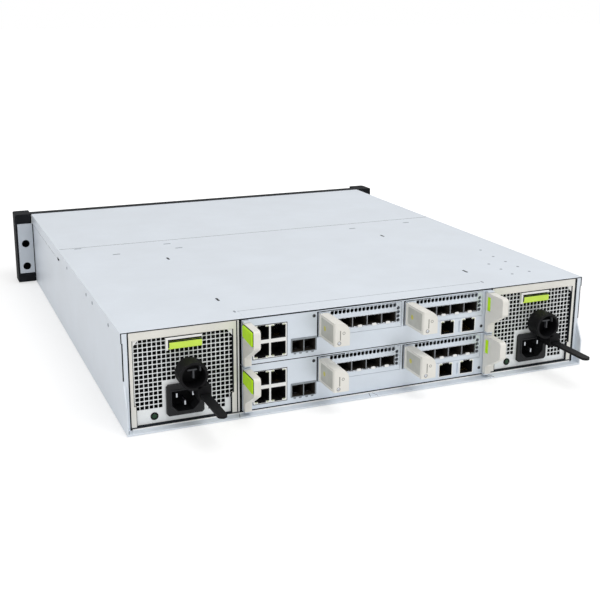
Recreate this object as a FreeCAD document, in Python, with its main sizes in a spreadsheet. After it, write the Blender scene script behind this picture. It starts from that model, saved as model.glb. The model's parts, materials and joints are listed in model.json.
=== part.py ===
import FreeCAD, Part
import Sketcher
import math
import os
from types import SimpleNamespace

from FreeCAD import Placement, Rotation, Vector

# Disk shelf enclosure, 2 rack units high: twelve disk carriers in front, two power supplies and two
# stacked controllers with plug-in port modules behind.
# Frame: origin in the middle of the chassis underside, +X to the right seen from the front,
# +Y towards the rear panel, +Z up.  Left and right in the names are as seen from the rear panel.

SIZES = {
    # chassis
    "rack_width": 482.6,
    "ear_width": 17.8,
    "chassis_height": 86.1,
    "chassis_depth": 488.0,
    "wall_sheet": 1.2,
    "base_sheet": 1.5,
    "cover_sheet": 1.0,
    "cover_gap": 0.2,
    "front_cover_drop": 11.1,
    "rear_cover_drop": 9.1,
    "front_cover_length": 195.8,
    "cover_seam": 0.4,
    "corner_flange": 5.1,
    "lip_reach": 7.8,
    "cheek_low": 25.0,
    "cheek_high": 41.0,
    "slip_gap": 0.3,
    # rack ears
    "ear_sheet": 2.0,
    "ear_foot": 12.3,
    "ear_hole_inset": 8.75,
    "ear_hole_spacing": 28.575,
    "ear_hole_height": 35.3,
    "ear_hole_radius": 4.75,
    # plastic front trim
    "cap_reach": 24.0,
    "cap_foot": 0.9,
    "cap_wrap": 2.0,
    "cap_lug": 1.8,
    "cap_corner": 4.0,
    "window_margin": 1.2,
    "trim_reach": 12.0,
    "trim_sheet": 1.4,
    # disk bay
    "upright_sheet": 1.2,
    "row_first": 3.2,
    "ledge_sheet": 0.7,
    "ledge_reach": 3.0,
    "carrier_side_gap": 0.5,
    "carrier_top_gap": 1.2,
    "carrier_rail": 3.525,
    "carrier_bezel": 8.0,
    "carrier_length": 184.0,
    "disk_length": 147.0,
    "disk_clear": 0.7,
    "grip_length": 74.0,
    "grip_height": 15.4,
    "grip_depth": 5.0,
    "grip_margin": 3.0,
    "carrier_slot_width": 2.4,
    "carrier_slot_pitch": 4.8,
    "carrier_slot_height": 17.0,
    # midplane
    "midplane_gap": 8.0,
    "midplane_sheet": 2.4,
    "disk_plug_width": 42.0,
    "disk_plug_height": 6.0,
    "rear_plug_reach": 6.0,
    "rear_plug_height": 9.0,
    "rear_plug_width": 60.0,
    "air_slot_height": 9.0,
    "air_slot_width": 90.0,
    # rear modules
    "module_rest": 3.6,
    "rail_height": 1.8,
    "rail_width": 10.0,
    "module_ceiling": 0.3,
    "divider_sheet": 1.3,
    # power supply
    "psu_width": 91.9,
    "psu_side_gap": 0.4,
    "psu_sheet": 1.0,
    "psu_face_inset": 2.5,
    "psu_band": 6.8,
    "psu_strip_left": 3.1,
    "psu_strip_right": 4.1,
    "psu_strip_step": 1.7,
    "psu_step_height": 22.0,
    "mesh_web": 1.8,
    "mesh_margin": 1.0,
    "mesh_split": 37.4,
    "mesh_low_left": 16.6,
    "mesh_low_right": 9.2,
    "mesh_inlet_gap": 2.6,
    # inlet
    "inlet_width": 32.0,
    "inlet_height": 27.0,
    "inlet_base": 9.0,
    "inlet_flange": 3.0,
    "inlet_corner": 1.6,
    "socket_width": 23.6,
    "socket_height": 17.8,
    "socket_base": 12.6,
    "socket_depth": 15.0,
    "socket_chamfer": 5.2,
    "socket_wall": 1.6,
    "blade_width": 2.0,
    "blade_height": 3.8,
    "blade_spread": 14.0,
    "blade_length": 13.0,
    "blade_rise": 13.2,
    "earth_rise": 5.8,
    # power supply latch
    "latch_width": 28.6,
    "latch_height": 6.2,
    "latch_drop": 17.6,
    "latch_offset": 1.0,
    "latch_travel": 1.5,
    "latch_frame": 1.3,
    "latch_frame_reach": 2.8,
    # cord retainer
    "strap_offset": 10.85,
    "strap_width": 8.0,
    "strap_sheet": 2.0,
    "strap_reach": 67.0,
    "strap_height": 30.2,
    "strap_foot_height": 6.0,
    "strap_foot_width": 12.0,
    "strap_foot_reach": 3.0,
    "clamp_outer": 12.0,
    "clamp_inner": 8.4,
    "clamp_offset": 2.0,
    "clamp_height": 48.5,
    "clamp_length": 15.0,
    "clamp_start": 4.6,
    "clamp_mouth": 7.0,
    "clamp_wall": 2.0,
    # controllers
    "controller_side_gap": 2.0,
    "controller_gap": 0.4,
    "controller_sheet": 1.2,
    "runner_height": 12.0,
    "runner_sheet": 2.0,
    "runner_reach": 1.2,
    "board_height": 2.0,
    "board_sheet": 1.6,
    "jack_width": 12.6,
    "jack_height": 10.6,
    "jack_depth": 16.0,
    "jack_latch_width": 6.4,
    "jack_latch_height": 1.4,
    "jack_pitch": 15.1,
    "jack_level_low": 6.2,
    "jack_drop": 19.5,
    "jack_margin": 25.15,
    "jack_wall": 2.2,
    "duo_width": 10.0,
    "duo_height": 10.2,
    "duo_pitch": 11.2,
    "duo_margin": 56.2,
    "duo_level": 5.8,
    "duo_depth": 18.0,
    "service_offset": 15.55,
    "service_pitch": 22.0,
    "service_level": 3.3,
    "service_slot": 1.3,
    # controller levers
    "lever_sheet": 6.1,
    "lever_reach": 29.0,
    "lever_block": 7.0,
    "lever_tip_height": 15.6,
    "lever_heel": 9.0,
    "lever_lug": 0.9,
    "lever_pin": 1.0,
    "lever_corner": 3.1,
    "pin_gap": 0.05,
    "button_sheet": 1.5,
    "button_proud": 0.2,
    "button_travel": 0.8,
    "button_root": 4.6,
    "button_tip": 27.4,
    "button_top": 1.4,
    "button_heel": 21.4,
    "button_toe": 25.4,
    "rib_root": 5.4,
    "rib_tip": 9.4,
    "rib_low": 22.4,
    "rib_high": 35.0,
    # port modules
    "port_bay_left": 68.5,
    "port_bay_right": 8.0,
    "port_bay_gap": 1.9,
    "port_bay_base": 16.1,
    "port_bay_depth": 106.0,
    "port_side_gap": 0.4,
    "port_length": 104.0,
    "cage_gap": 1.1,
    "cage_height": 8.6,
    "cage_base": 5.2,
    "cage_depth": 40.0,
    "cage_right": 5.85,
    "cage_left": 19.65,
    "vent_radius": 1.8,
    "vent_pitch": 7.58,
    "vent_left": 17.4,
    "vent_drop": 1.9,
    "side_vent_right": 3.2,
    "side_vent_level": 8.2,
    "side_vent_pitch": 7.4,
    "handle_sheet": 1.8,
    "handle_reach": 32.0,
    "handle_turn": 14.0,
    "handle_corner": 9.0,
    "handle_inset": 2.4,
    "handle_lug": 0.8,
    "handle_knuckle": 1.4,
    "handle_pin": 0.7,
}

COLUMNS = 4
ROWS = 3
CARRIER_SLOTS = 3
TOP_MESH = (11, 5)
LEFT_MESH = (3, 3)
RIGHT_MESH = (3, 4)
CAGES = 4
VENTS = 8
SIDE_VENTS = 2
VENT_SIDES = 6
PIN_SIDES = 12
CLAMP_SIDES = 24
OVERSHOOT = 1.0

doc = FreeCAD.newDocument("disk_shelf")
sheet = doc.addObject("Spreadsheet::Sheet", "Sizes")
for line, (alias, number) in enumerate(SIZES.items(), start=1):
    sheet.set("A%d" % line, alias)
    sheet.set("B%d" % line, str(number))
    sheet.setAlias("B%d" % line, alias)
doc.recompute()


class Size:
    """A length that knows its number and the sheet formula that gives it."""

    def __init__(self, value, formula):
        self.value = value
        self.formula = formula

    def __add__(self, other):
        other = as_size(other)
        return Size(self.value + other.value, "(%s + %s)" % (self.formula, other.formula))

    def __sub__(self, other):
        other = as_size(other)
        return Size(self.value - other.value, "(%s - %s)" % (self.formula, other.formula))

    def __mul__(self, factor):
        factor = as_size(factor)
        return Size(self.value * factor.value, "(%s * %s)" % (self.formula, factor.formula))

    def __truediv__(self, divisor):
        divisor = as_size(divisor)
        return Size(self.value / divisor.value, "(%s / %s)" % (self.formula, divisor.formula))

    def __neg__(self):
        return self * -1

    def __radd__(self, other):
        return as_size(other) + self

    def __rsub__(self, other):
        return as_size(other) - self

    def __rmul__(self, factor):
        return self * factor


def as_size(number):
    """Wrap a plain number, and pass a Size through."""
    return number if isinstance(number, Size) else Size(number, "(%r)" % number)


S = SimpleNamespace(**{alias: Size(number, "Sizes." + alias) for alias, number in SIZES.items()})

# across: covers, walls, power supplies, dividers, controllers
COVER_OUT = S.rack_width / 2 - S.ear_width
WALL_OUT = COVER_OUT - S.cover_sheet - S.cover_gap
WALL_IN = WALL_OUT - S.wall_sheet
EAR_HOLE_X = S.rack_width / 2 - S.ear_hole_inset
EAR_TOP = S.chassis_height - S.front_cover_drop - S.slip_gap
PSU_HALF = S.psu_width / 2
PSU_X = WALL_OUT - S.corner_flange - S.psu_side_gap - PSU_HALF
DIVIDER_IN = PSU_X - PSU_HALF - S.psu_side_gap - S.divider_sheet
CTRL_HALF = DIVIDER_IN - S.controller_side_gap
# along: disks, midplane, rear modules
REAR = S.chassis_depth / 2
FRONT = -REAR
CARRIER_END = FRONT + S.carrier_length
MIDPLANE_FRONT = CARRIER_END + S.midplane_gap
MIDPLANE_REAR = MIDPLANE_FRONT + S.midplane_sheet
MODULE_FRONT = MIDPLANE_REAR + S.rear_plug_reach + S.slip_gap
MODULE_LENGTH = REAR - MODULE_FRONT
# up: walls, rear modules, controllers, disk rows
WALL_TOP = S.chassis_height - S.cover_sheet
MODULE_TOP = WALL_TOP - S.module_ceiling
CTRL_TOP = (MODULE_TOP - S.module_rest - S.controller_gap) / 2
CTRL_STEP = CTRL_TOP + S.controller_gap
ROW_PITCH = (WALL_TOP - S.row_first) / ROWS
CARRIER_HEIGHT = ROW_PITCH - S.carrier_top_gap
NODES = []


def bind(owner, path, size):
    """Tie one property of a document object to the sheet."""
    owner.setExpression(path, as_size(size).formula)


def both(offset):
    """The pair of limits that lie symmetrically about the middle plane."""
    return (-offset, offset)


def span(middle, width):
    """The pair of limits of a width about its middle."""
    return (middle - width / 2, middle + width / 2)


def ordered(first, second):
    """The two limits in rising order."""
    return (first, second) if first.value < second.value else (second, first)


def block(x, y, z):
    """Part::Box between three pairs of limits."""
    solid = doc.addObject("Part::Box", "block")
    for size_name, axis, (low, high) in zip(("Length", "Width", "Height"), "xyz", (x, y, z)):
        bind(solid, size_name, high - low)
        bind(solid, ".Placement.Base." + axis, low)
    return solid


def prism_y(sides, x, z, radius, y):
    """Part::Prism along Y between two limits."""
    solid = doc.addObject("Part::Prism", "prism")
    solid.Placement = Placement(Vector(0, 0, 0), Rotation(Vector(1, 0, 0), -90))
    solid.Polygon = sides
    bind(solid, "Circumradius", radius)
    bind(solid, "Height", y[1] - y[0])
    for axis, place in zip("xyz", (x, y[0], z)):
        bind(solid, ".Placement.Base." + axis, place)
    return solid


def prism_z(sides, x, y, radius, z):
    """Part::Prism along Z between two limits."""
    solid = doc.addObject("Part::Prism", "prism")
    solid.Polygon = sides
    bind(solid, "Circumradius", radius)
    bind(solid, "Height", z[1] - z[0])
    for axis, place in zip("xyz", (x, y, z[0])):
        bind(solid, ".Placement.Base." + axis, place)
    return solid


def fuse(name, *solids):
    """Join solids into one."""
    joined = doc.addObject("Part::MultiFuse", name)
    joined.Shapes = list(solids)
    return joined


def carve(name, base, *tools):
    """Cut one or more tools out of a base."""
    result = doc.addObject("Part::Cut", name)
    result.Base = base
    result.Tool = tools[0] if len(tools) == 1 else gather(name + "_tools", *tools)
    return result


def gather(name, *solids):
    """Keep several separate solids together."""
    bundle = doc.addObject("Part::Compound", name)
    bundle.Links = list(solids)
    return bundle


def copy_at(source, x=0, y=0, z=0):
    """A live copy of a master shape, moved to its place."""
    placed = gather("copy", source)
    for axis, place in zip("xyz", (x, y, z)):
        bind(placed, ".Placement.Base." + axis, place)
    return placed


def mirror_x(source):
    """The mirror image of a master shape about the plane X = 0."""
    twin = doc.addObject("Part::Mirroring", "twin")
    twin.Source = source
    twin.Base = Vector(0, 0, 0)
    twin.Normal = Vector(1, 0, 0)
    return twin


def node(name, item):
    """Register an object as the sub-part of that name."""
    item.Label = name
    NODES.append(item)


class Outline:
    """A closed polygon whose corners are tied to the sheet."""

    def __init__(self, *corners):
        self.corners = [(as_size(u), as_size(v)) for u, v in corners]

    def draw(self, sketch):
        points = [Vector(u.value, v.value, 0) for u, v in self.corners]
        first = sketch.GeometryCount
        count = len(points)
        for index in range(count):
            sketch.addGeometry(Part.LineSegment(points[index], points[(index + 1) % count]), False)
        for index in range(count):
            here, after = first + index, first + (index + 1) % count
            sketch.addConstraint(Sketcher.Constraint("Coincident", here, 2, after, 1))
        for index, (u, v) in enumerate(self.corners):
            for kind, size in (("DistanceX", u), ("DistanceY", v)):
                rule = Sketcher.Constraint(kind, -1, 1, first + index, 1, size.value)
                bind(sketch, "Constraints[%d]" % sketch.addConstraint(rule), size)


class Disc:
    """A circle whose centre and radius are tied to the sheet."""

    def __init__(self, u, v, radius):
        self.u, self.v, self.radius = as_size(u), as_size(v), as_size(radius)

    def draw(self, sketch):
        middle = Vector(self.u.value, self.v.value, 0)
        ring = sketch.addGeometry(Part.Circle(middle, Vector(0, 0, 1), self.radius.value), False)
        for kind, size in (("DistanceX", self.u), ("DistanceY", self.v)):
            rule = Sketcher.Constraint(kind, -1, 1, ring, 3, size.value)
            bind(sketch, "Constraints[%d]" % sketch.addConstraint(rule), size)
        rule = Sketcher.Constraint("Radius", ring, self.radius.value)
        bind(sketch, "Constraints[%d]" % sketch.addConstraint(rule), self.radius)


def rectangle(u, v):
    """Outline of a rectangle between two pairs of limits."""
    return Outline((u[0], v[0]), (u[1], v[0]), (u[1], v[1]), (u[0], v[1]))


def polygon(sides, u, v, radius):
    """Outline of a regular polygon with a flat on each side."""
    angles = [math.pi * (2 * index + 1) / sides for index in range(sides)]
    return Outline(*[(u + radius * math.cos(angle), v + radius * math.sin(angle)) for angle in angles])


class Form:
    """A PartDesign body built up from sketches on its own origin planes."""

    # plane: role of the origin plane, sense of its normal, axes across it
    PLANES = {"XY": ("XY_Plane", 1, "xy"), "XZ": ("XZ_Plane", -1, "xz"), "YZ": ("YZ_Plane", 1, "yz")}

    def __init__(self, name):
        self.body = doc.addObject("PartDesign::Body", name)

    def sketch(self, plane, level, *loops):
        """Sketch closed loops on an origin plane moved to a level."""
        role, sense, _ = self.PLANES[plane]
        drawing = self.body.newObject("Sketcher::SketchObject", "sketch")
        base = next(item for item in self.body.Origin.OriginFeatures if item.Role == role)
        drawing.AttachmentSupport = [(base, "")]
        drawing.MapMode = "FlatFace"
        bind(drawing, ".AttachmentOffset.Base.z", level * sense)
        for loop in loops:
            loop.draw(drawing)
        return drawing

    def add(self, plane, limits, *loops):
        """Pad closed loops between two levels along the plane's axis."""
        low, high = limits
        level = low if self.PLANES[plane][1] > 0 else high
        feature = self.body.newObject("PartDesign::Pad", "pad")
        feature.Profile = self.sketch(plane, level, *loops)
        bind(feature, "Length", high - low)
        return self.settle(feature)

    def cut(self, plane, limits, *loops):
        """Pocket closed loops between two levels along the plane's axis."""
        low, high = limits
        level = high if self.PLANES[plane][1] > 0 else low
        before = self.body.Shape.Volume
        feature = self.body.newObject("PartDesign::Pocket", "pocket")
        feature.Profile = self.sketch(plane, level, *loops)
        bind(feature, "Length", high - low)
        self.settle(feature)
        if self.body.Shape.Volume > before - 1e-6:
            raise RuntimeError("a pocket of %s removes nothing" % self.body.Name)
        return feature

    def repeat(self, feature, direction, pitch, count):
        """Repeat a feature along its sketch's H_Axis or V_Axis."""
        row = self.body.newObject("PartDesign::LinearPattern", "row")
        row.Originals = [feature]
        row.Direction = (feature.Profile[0], [direction])
        bind(row, "Length", pitch * (count - 1))
        bind(row, "Occurrences", count)
        return self.settle(row)

    def round(self, plane, radius, *corners):
        """Fillet the edges that stand on the given corners of a plane."""
        axes = self.PLANES[plane][2]
        names = []
        for number, edge in enumerate(self.body.Shape.Edges, start=1):
            for u, v in corners:
                away = [abs(getattr(end.Point, axes[0]) - as_size(u).value)
                        + abs(getattr(end.Point, axes[1]) - as_size(v).value) for end in edge.Vertexes]
                if len(away) == 2 and max(away) < 1e-3:
                    names.append("Edge%d" % number)
        dressed = self.body.Tip
        feature = self.body.newObject("PartDesign::Fillet", "fillet")
        feature.Base = (dressed, names)
        bind(feature, "Radius", radius)
        return self.settle(feature)

    def settle(self, feature):
        """Make a feature the tip and see that it holds."""
        self.body.Tip = feature
        doc.recompute()
        if "Invalid" in feature.State:
            raise RuntimeError("%s of %s failed" % (feature.Name, self.body.Name))
        return feature


# ---------------------------------------------------------------- chassis

def chassis_tub():
    """Base, side walls with their rear cheeks, corner flanges, rack ears and module rails."""
    tub = Form("tub")
    tub.add("XY", (0, S.base_sheet), rectangle(both(WALL_OUT), (FRONT, REAR + S.lip_reach)))
    side = Outline((FRONT, 0), (REAR + S.lip_reach, 0), (REAR + S.lip_reach, S.cheek_low),
                   (REAR, S.cheek_high), (REAR, WALL_TOP), (FRONT, WALL_TOP))
    ear_in = WALL_OUT - S.wall_sheet / 2
    ear_out = S.rack_width / 2
    ear_z = (S.ear_foot, EAR_TOP)
    holes = span(S.ear_hole_height, S.ear_hole_spacing)
    for turn in (1, -1):
        tub.add("YZ", ordered(WALL_IN * turn, WALL_OUT * turn), side)
        flange = ordered((WALL_OUT - S.corner_flange) * turn, WALL_OUT * turn)
        tub.add("XZ", (REAR - S.wall_sheet, REAR), rectangle(flange, (S.base_sheet / 2, WALL_TOP)))
        tub.add("XZ", (FRONT, FRONT + S.ear_sheet), rectangle(ordered(ear_in * turn, ear_out * turn), ear_z))
        tub.cut("XZ", (FRONT, FRONT + S.ear_sheet),
                *[Disc(EAR_HOLE_X * turn, height, S.ear_hole_radius) for height in holes])
    rail_length = (MODULE_FRONT, REAR - S.wall_sheet)
    rail_z = (S.base_sheet, S.base_sheet + S.rail_height)
    psu_rail = PSU_HALF - S.rail_width
    rails = [PSU_X + psu_rail, PSU_X - psu_rail, CTRL_HALF - S.rail_width * 2]
    for offset in rails + [-offset for offset in rails]:
        tub.add("XY", rail_z, rectangle(span(offset, S.rail_width), rail_length))
    return tub.body


def cover(name, length, drop):
    """Top cover section with a flange down each side."""
    half = COVER_OUT
    edge = S.chassis_height - drop
    lid = Form(name)
    lid.add("XZ", length, Outline(
        (-half, edge), (-half, S.chassis_height), (half, S.chassis_height), (half, edge),
        (half - S.cover_sheet, edge), (half - S.cover_sheet, WALL_TOP),
        (S.cover_sheet - half, WALL_TOP), (S.cover_sheet - half, edge)))
    return lid.body


def front_trim():
    """Plastic surround of the disk bay, with a cap over each rack ear: screw window, locating lugs."""
    trim = Form("trim")
    face = (FRONT - S.trim_reach, FRONT)
    cap_y = (FRONT - S.cap_reach, FRONT)
    lug_y = (FRONT, FRONT + S.cap_lug)
    cap_in = COVER_OUT + S.slip_gap
    ear_out = S.rack_width / 2 + S.slip_gap
    cap_out = ear_out + S.cap_wrap
    low, high = S.cap_foot, WALL_TOP + S.trim_sheet
    window = (S.ear_hole_radius + S.window_margin) * 2
    trim.add("XZ", face, rectangle(both(cap_in), (WALL_TOP, high)))
    for turn in (1, -1):
        cap_x = ordered(cap_in * turn, cap_out * turn)
        trim.add("XZ", cap_y, rectangle(cap_x, (low, high)))
        trim.add("XZ", lug_y, rectangle(ordered(ear_out * turn, cap_out * turn), (low, high)))
        for lug_z in ((low, S.ear_foot - S.slip_gap), (EAR_TOP + S.slip_gap, high)):
            trim.add("XZ", lug_y, rectangle(cap_x, lug_z))
        trim.cut("XZ", cap_y, rectangle(span(EAR_HOLE_X * turn, window),
                                        span(S.ear_hole_height, S.ear_hole_spacing + window)))
        trim.round("XY", S.cap_corner, (cap_out * turn, cap_y[0]))
    trim.add("XZ", face, rectangle(both(cap_in), (low, low + S.trim_sheet)))
    return trim.body


BAY_PITCH = (WALL_IN * 2 - S.upright_sheet * (COLUMNS - 1)) / COLUMNS + S.upright_sheet
CARRIER_WIDTH = BAY_PITCH - S.upright_sheet - S.carrier_side_gap * 2


def bay_centre(column):
    """Middle of a column of disks."""
    return BAY_PITCH * (column - (COLUMNS - 1) / 2)


def row_base(row):
    """Underside of the carriers of a row."""
    return S.row_first + ROW_PITCH * row


def inner_frame():
    """Uprights and ledges of the disk bay, and the two dividers of the rear bays."""
    parts = []
    tall = (S.base_sheet, WALL_TOP)
    for column in range(1, COLUMNS):
        middle = bay_centre(column) - BAY_PITCH / 2
        parts.append(block(span(middle, S.upright_sheet), (FRONT, CARRIER_END), tall))
    for column in range(COLUMNS):
        for turn in (1, -1):
            outer = bay_centre(column) + (BAY_PITCH - S.upright_sheet) / 2 * turn
            ledge_x = ordered(outer - S.ledge_reach * turn, outer)
            for row in range(ROWS):
                top = row_base(row) - S.slip_gap
                parts.append(block(ledge_x, (FRONT, CARRIER_END), (top - S.ledge_sheet, top)))
    runner_top = S.module_rest + CTRL_STEP + S.runner_height - S.slip_gap
    for turn in (1, -1):
        face = DIVIDER_IN * turn
        parts.append(block(ordered(face, face + S.divider_sheet * turn),
                           (MODULE_FRONT, REAR - S.wall_sheet), tall))
        parts.append(block(ordered(face - S.runner_reach * turn, face),
                           (MODULE_FRONT, REAR - S.rail_width), (runner_top - S.runner_sheet, runner_top)))
    return gather("frame", *parts)


def midplane_board():
    """Board across the chassis with disk plugs in front, module plugs behind and air slots."""
    board = block(both(WALL_IN), (MIDPLANE_FRONT, MIDPLANE_REAR), (S.base_sheet, WALL_TOP))
    plugs, slots = [], []
    for column in range(COLUMNS):
        for row in range(ROWS):
            middle = row_base(row) + CARRIER_HEIGHT / 2
            slot_low = middle - S.air_slot_height - S.disk_plug_height / 2
            plugs.append(block(span(bay_centre(column), S.disk_plug_width),
                               (CARRIER_END + S.slip_gap, MIDPLANE_FRONT), span(middle, S.disk_plug_height)))
            slots.append(block(span(bay_centre(column), S.air_slot_width),
                               (MIDPLANE_FRONT - OVERSHOOT, MIDPLANE_REAR + OVERSHOOT),
                               (slot_low, slot_low + S.air_slot_height)))
    reach = (MIDPLANE_REAR, MIDPLANE_REAR + S.rear_plug_reach)
    for offset in both(PSU_X):
        plugs.append(block(span(offset, S.rear_plug_width), reach,
                           span(S.module_rest + CTRL_TOP, S.rear_plug_height)))
    for level in range(2):
        middle = S.module_rest + CTRL_STEP * level + CTRL_TOP / 2
        plugs.append(block(both(S.rear_plug_width), reach, span(middle, S.rear_plug_height)))
    return fuse("midplane", carve("board", board, *slots), *plugs)


# ---------------------------------------------------------------- disk carriers

DISK_HALF = CARRIER_WIDTH / 2 - S.carrier_rail
GRIP_GAP = S.slip_gap
GRIP_LOW = -CARRIER_WIDTH / 2 + S.grip_margin
GRIP_PIVOT_X = GRIP_LOW + S.grip_length - S.grip_depth / 2
GRIP_PIVOT_Y = S.grip_depth / 2 - S.carrier_bezel


def disk_carrier():
    """Carrier with its disk: bezel with grip recess and air slots, side rails and the disk."""
    middle = CARRIER_HEIGHT / 2
    bezel = block(both(CARRIER_WIDTH / 2), (-S.carrier_bezel, 0), (0, CARRIER_HEIGHT))
    disk = block(both(DISK_HALF), (S.carrier_length - S.disk_length, S.carrier_length),
                 span(middle, CARRIER_HEIGHT - S.disk_clear))
    rails = [block(ordered(DISK_HALF * turn, CARRIER_WIDTH / 2 * turn), (0, S.carrier_length),
                   (0, middle)) for turn in (1, -1)]
    body = fuse("carrier_body", bezel, disk, *rails)
    recess = block((GRIP_LOW - GRIP_GAP, GRIP_LOW + S.grip_length + GRIP_GAP),
                   (-S.carrier_bezel - OVERSHOOT, S.grip_depth + GRIP_GAP - S.carrier_bezel),
                   span(middle, S.grip_height + GRIP_GAP * 2))
    first = GRIP_LOW + S.grip_length + S.carrier_slot_pitch
    slots = [block(span(first + S.carrier_slot_pitch * index, S.carrier_slot_width),
                   (-S.carrier_bezel - OVERSHOOT, OVERSHOOT),
                   span(middle, S.carrier_slot_height)) for index in range(CARRIER_SLOTS)]
    return carve("disk_carrier_form", body, recess, *slots)


def carrier_grip():
    """Swing-out grip: a flat bar with a bevelled finger end and a round knuckle."""
    front = -S.carrier_bezel
    back = front + S.grip_depth
    height = span(CARRIER_HEIGHT / 2, S.grip_height)
    grip = Form("carrier_grip_form")
    grip.add("XY", height, Outline(
        (GRIP_PIVOT_X, front), (GRIP_PIVOT_X, back), (GRIP_LOW + S.grip_depth, back),
        (GRIP_LOW, front + S.grip_depth / 2), (GRIP_LOW, front)))
    grip.add("XY", height, Disc(GRIP_PIVOT_X, GRIP_PIVOT_Y, S.grip_depth / 2))
    return grip.body


# ---------------------------------------------------------------- power supply

PSU_FACE = -S.psu_face_inset
LATCH_BASE = MODULE_TOP - S.latch_drop
SOCKET_BODY_X = S.socket_width / 2 + S.socket_wall
SOCKET_BODY_Z = (S.socket_base - S.socket_wall, S.socket_base + S.socket_height + S.socket_wall)
INLET_FRONT = PSU_FACE + S.inlet_flange
SOCKET_FLOOR = INLET_FRONT - S.socket_depth


def mesh_row(x, z, columns, rows):
    """Row of square holes and the step between rows for one field of the air mesh."""
    pitch = (x[1] - x[0]) / columns
    step = (z[1] - z[0]) / rows
    holes = [rectangle(span(x[0] + pitch * (index + 0.5), pitch - S.mesh_web),
                       span(z[0] + step / 2, step - S.mesh_web)) for index in range(columns)]
    return holes, step


def psu_case():
    """Sheet-metal case: hollow box, meshed rear face, raised latch frame and inlet cut-out."""
    case = Form("psu_case_form")
    depth = (-MODULE_LENGTH, PSU_FACE)
    case.add("XZ", depth, rectangle(both(PSU_HALF), (S.module_rest, MODULE_TOP)))
    case.cut("XZ", (depth[0] + S.psu_sheet, depth[1] - S.psu_sheet),
             rectangle(both(PSU_HALF - S.psu_sheet),
                       (S.module_rest + S.psu_sheet, MODULE_TOP - S.psu_sheet)))
    left = PSU_HALF - S.psu_strip_left - S.mesh_margin
    right = S.psu_strip_right + S.mesh_margin - PSU_HALF
    top = MODULE_TOP - S.psu_band - S.mesh_margin
    beside = S.inlet_width / 2 + S.mesh_inlet_gap
    fields = (((right, left), (S.mesh_split, top)) + TOP_MESH,
              ((beside, left - S.psu_strip_step), (S.mesh_low_left, S.mesh_split)) + LEFT_MESH,
              ((right + S.psu_strip_step, -beside), (S.mesh_low_right, S.mesh_split)) + RIGHT_MESH)
    for x, z, columns, rows in fields:
        holes, step = mesh_row(x, z, columns, rows)
        row = case.cut("XZ", (PSU_FACE - S.psu_sheet, PSU_FACE), *holes)
        case.repeat(row, "V_Axis", step, rows)
    window_x = span(-S.latch_offset, S.latch_width + S.slip_gap * 2)
    window_z = (LATCH_BASE - S.slip_gap, LATCH_BASE + S.latch_height + S.latch_travel + S.slip_gap)
    frame = rectangle((window_x[0] - S.latch_frame, window_x[1] + S.latch_frame),
                      (window_z[0] - S.latch_frame, top + S.mesh_margin))
    case.add("XZ", (PSU_FACE - S.psu_sheet, PSU_FACE + S.latch_frame_reach), frame)
    case.cut("XZ", (PSU_FACE, PSU_FACE + S.latch_frame_reach), rectangle(window_x, window_z))
    case.cut("XZ", (PSU_FACE - S.psu_sheet, PSU_FACE),
             rectangle(both(SOCKET_BODY_X + S.cover_gap),
                       (SOCKET_BODY_Z[0] - S.cover_gap, SOCKET_BODY_Z[1] + S.cover_gap)))
    return case.body


def psu_bezel():
    """Surround of the power supply face: top band and two side strips that widen at the foot."""
    half, foot, step = PSU_HALF, S.module_rest, S.psu_step_height
    band = MODULE_TOP - S.psu_band
    left, right = half - S.psu_strip_left, S.psu_strip_right - half
    left_low, right_low = left - S.psu_strip_step, right + S.psu_strip_step
    bezel = Form("psu_bezel_form")
    bezel.add("XZ", (PSU_FACE, 0), Outline(
        (half, foot), (half, MODULE_TOP), (-half, MODULE_TOP), (-half, foot), (right_low, foot),
        (right_low, step), (right, step), (right, band), (left, band), (left, step),
        (left_low, step), (left_low, foot)))
    return bezel.body


def psu_inlet():
    """Three-blade mains inlet: flange, moulded body, keyed recess and contact blades."""
    half, base, top, bevel = S.inlet_width / 2, S.inlet_base, S.inlet_base + S.inlet_height, S.inlet_corner
    inlet = Form("psu_inlet_form")
    inlet.add("XZ", (PSU_FACE, INLET_FRONT), Outline(
        (bevel - half, base), (half - bevel, base), (half, base + bevel), (half, top - bevel),
        (half - bevel, top), (bevel - half, top), (-half, top - bevel), (-half, base + bevel)))
    inlet.add("XZ", (SOCKET_FLOOR - S.socket_wall, PSU_FACE), rectangle(both(SOCKET_BODY_X), SOCKET_BODY_Z))
    wide, key = S.socket_width / 2, S.socket_chamfer
    low, high = S.socket_base, S.socket_base + S.socket_height
    inlet.cut("XZ", (SOCKET_FLOOR, INLET_FRONT), Outline(
        (key - wide, low), (wide - key, low), (wide, low + key),
        (wide, high), (-wide, high), (-wide, low + key)))
    blades = [rectangle(span(x, S.blade_width), span(low + rise, S.blade_height))
              for x, rise in ((S.blade_spread / 2, S.blade_rise), (-S.blade_spread / 2, S.blade_rise),
                              (as_size(0), S.earth_rise))]
    inlet.add("XZ", (SOCKET_FLOOR, SOCKET_FLOOR + S.blade_length), *blades)
    return inlet.body


def psu_latch():
    """Coloured release latch that slides up in its frame."""
    latch = Form("psu_latch_form")
    front = PSU_FACE + S.latch_frame_reach
    latch.add("XZ", (PSU_FACE + S.slip_gap, front),
              rectangle(span(-S.latch_offset, S.latch_width), (LATCH_BASE, LATCH_BASE + S.latch_height)))
    return latch.body


STRAP_X = -S.strap_offset
STRAP_Z = (S.strap_height, S.strap_height + S.strap_sheet)


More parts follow.
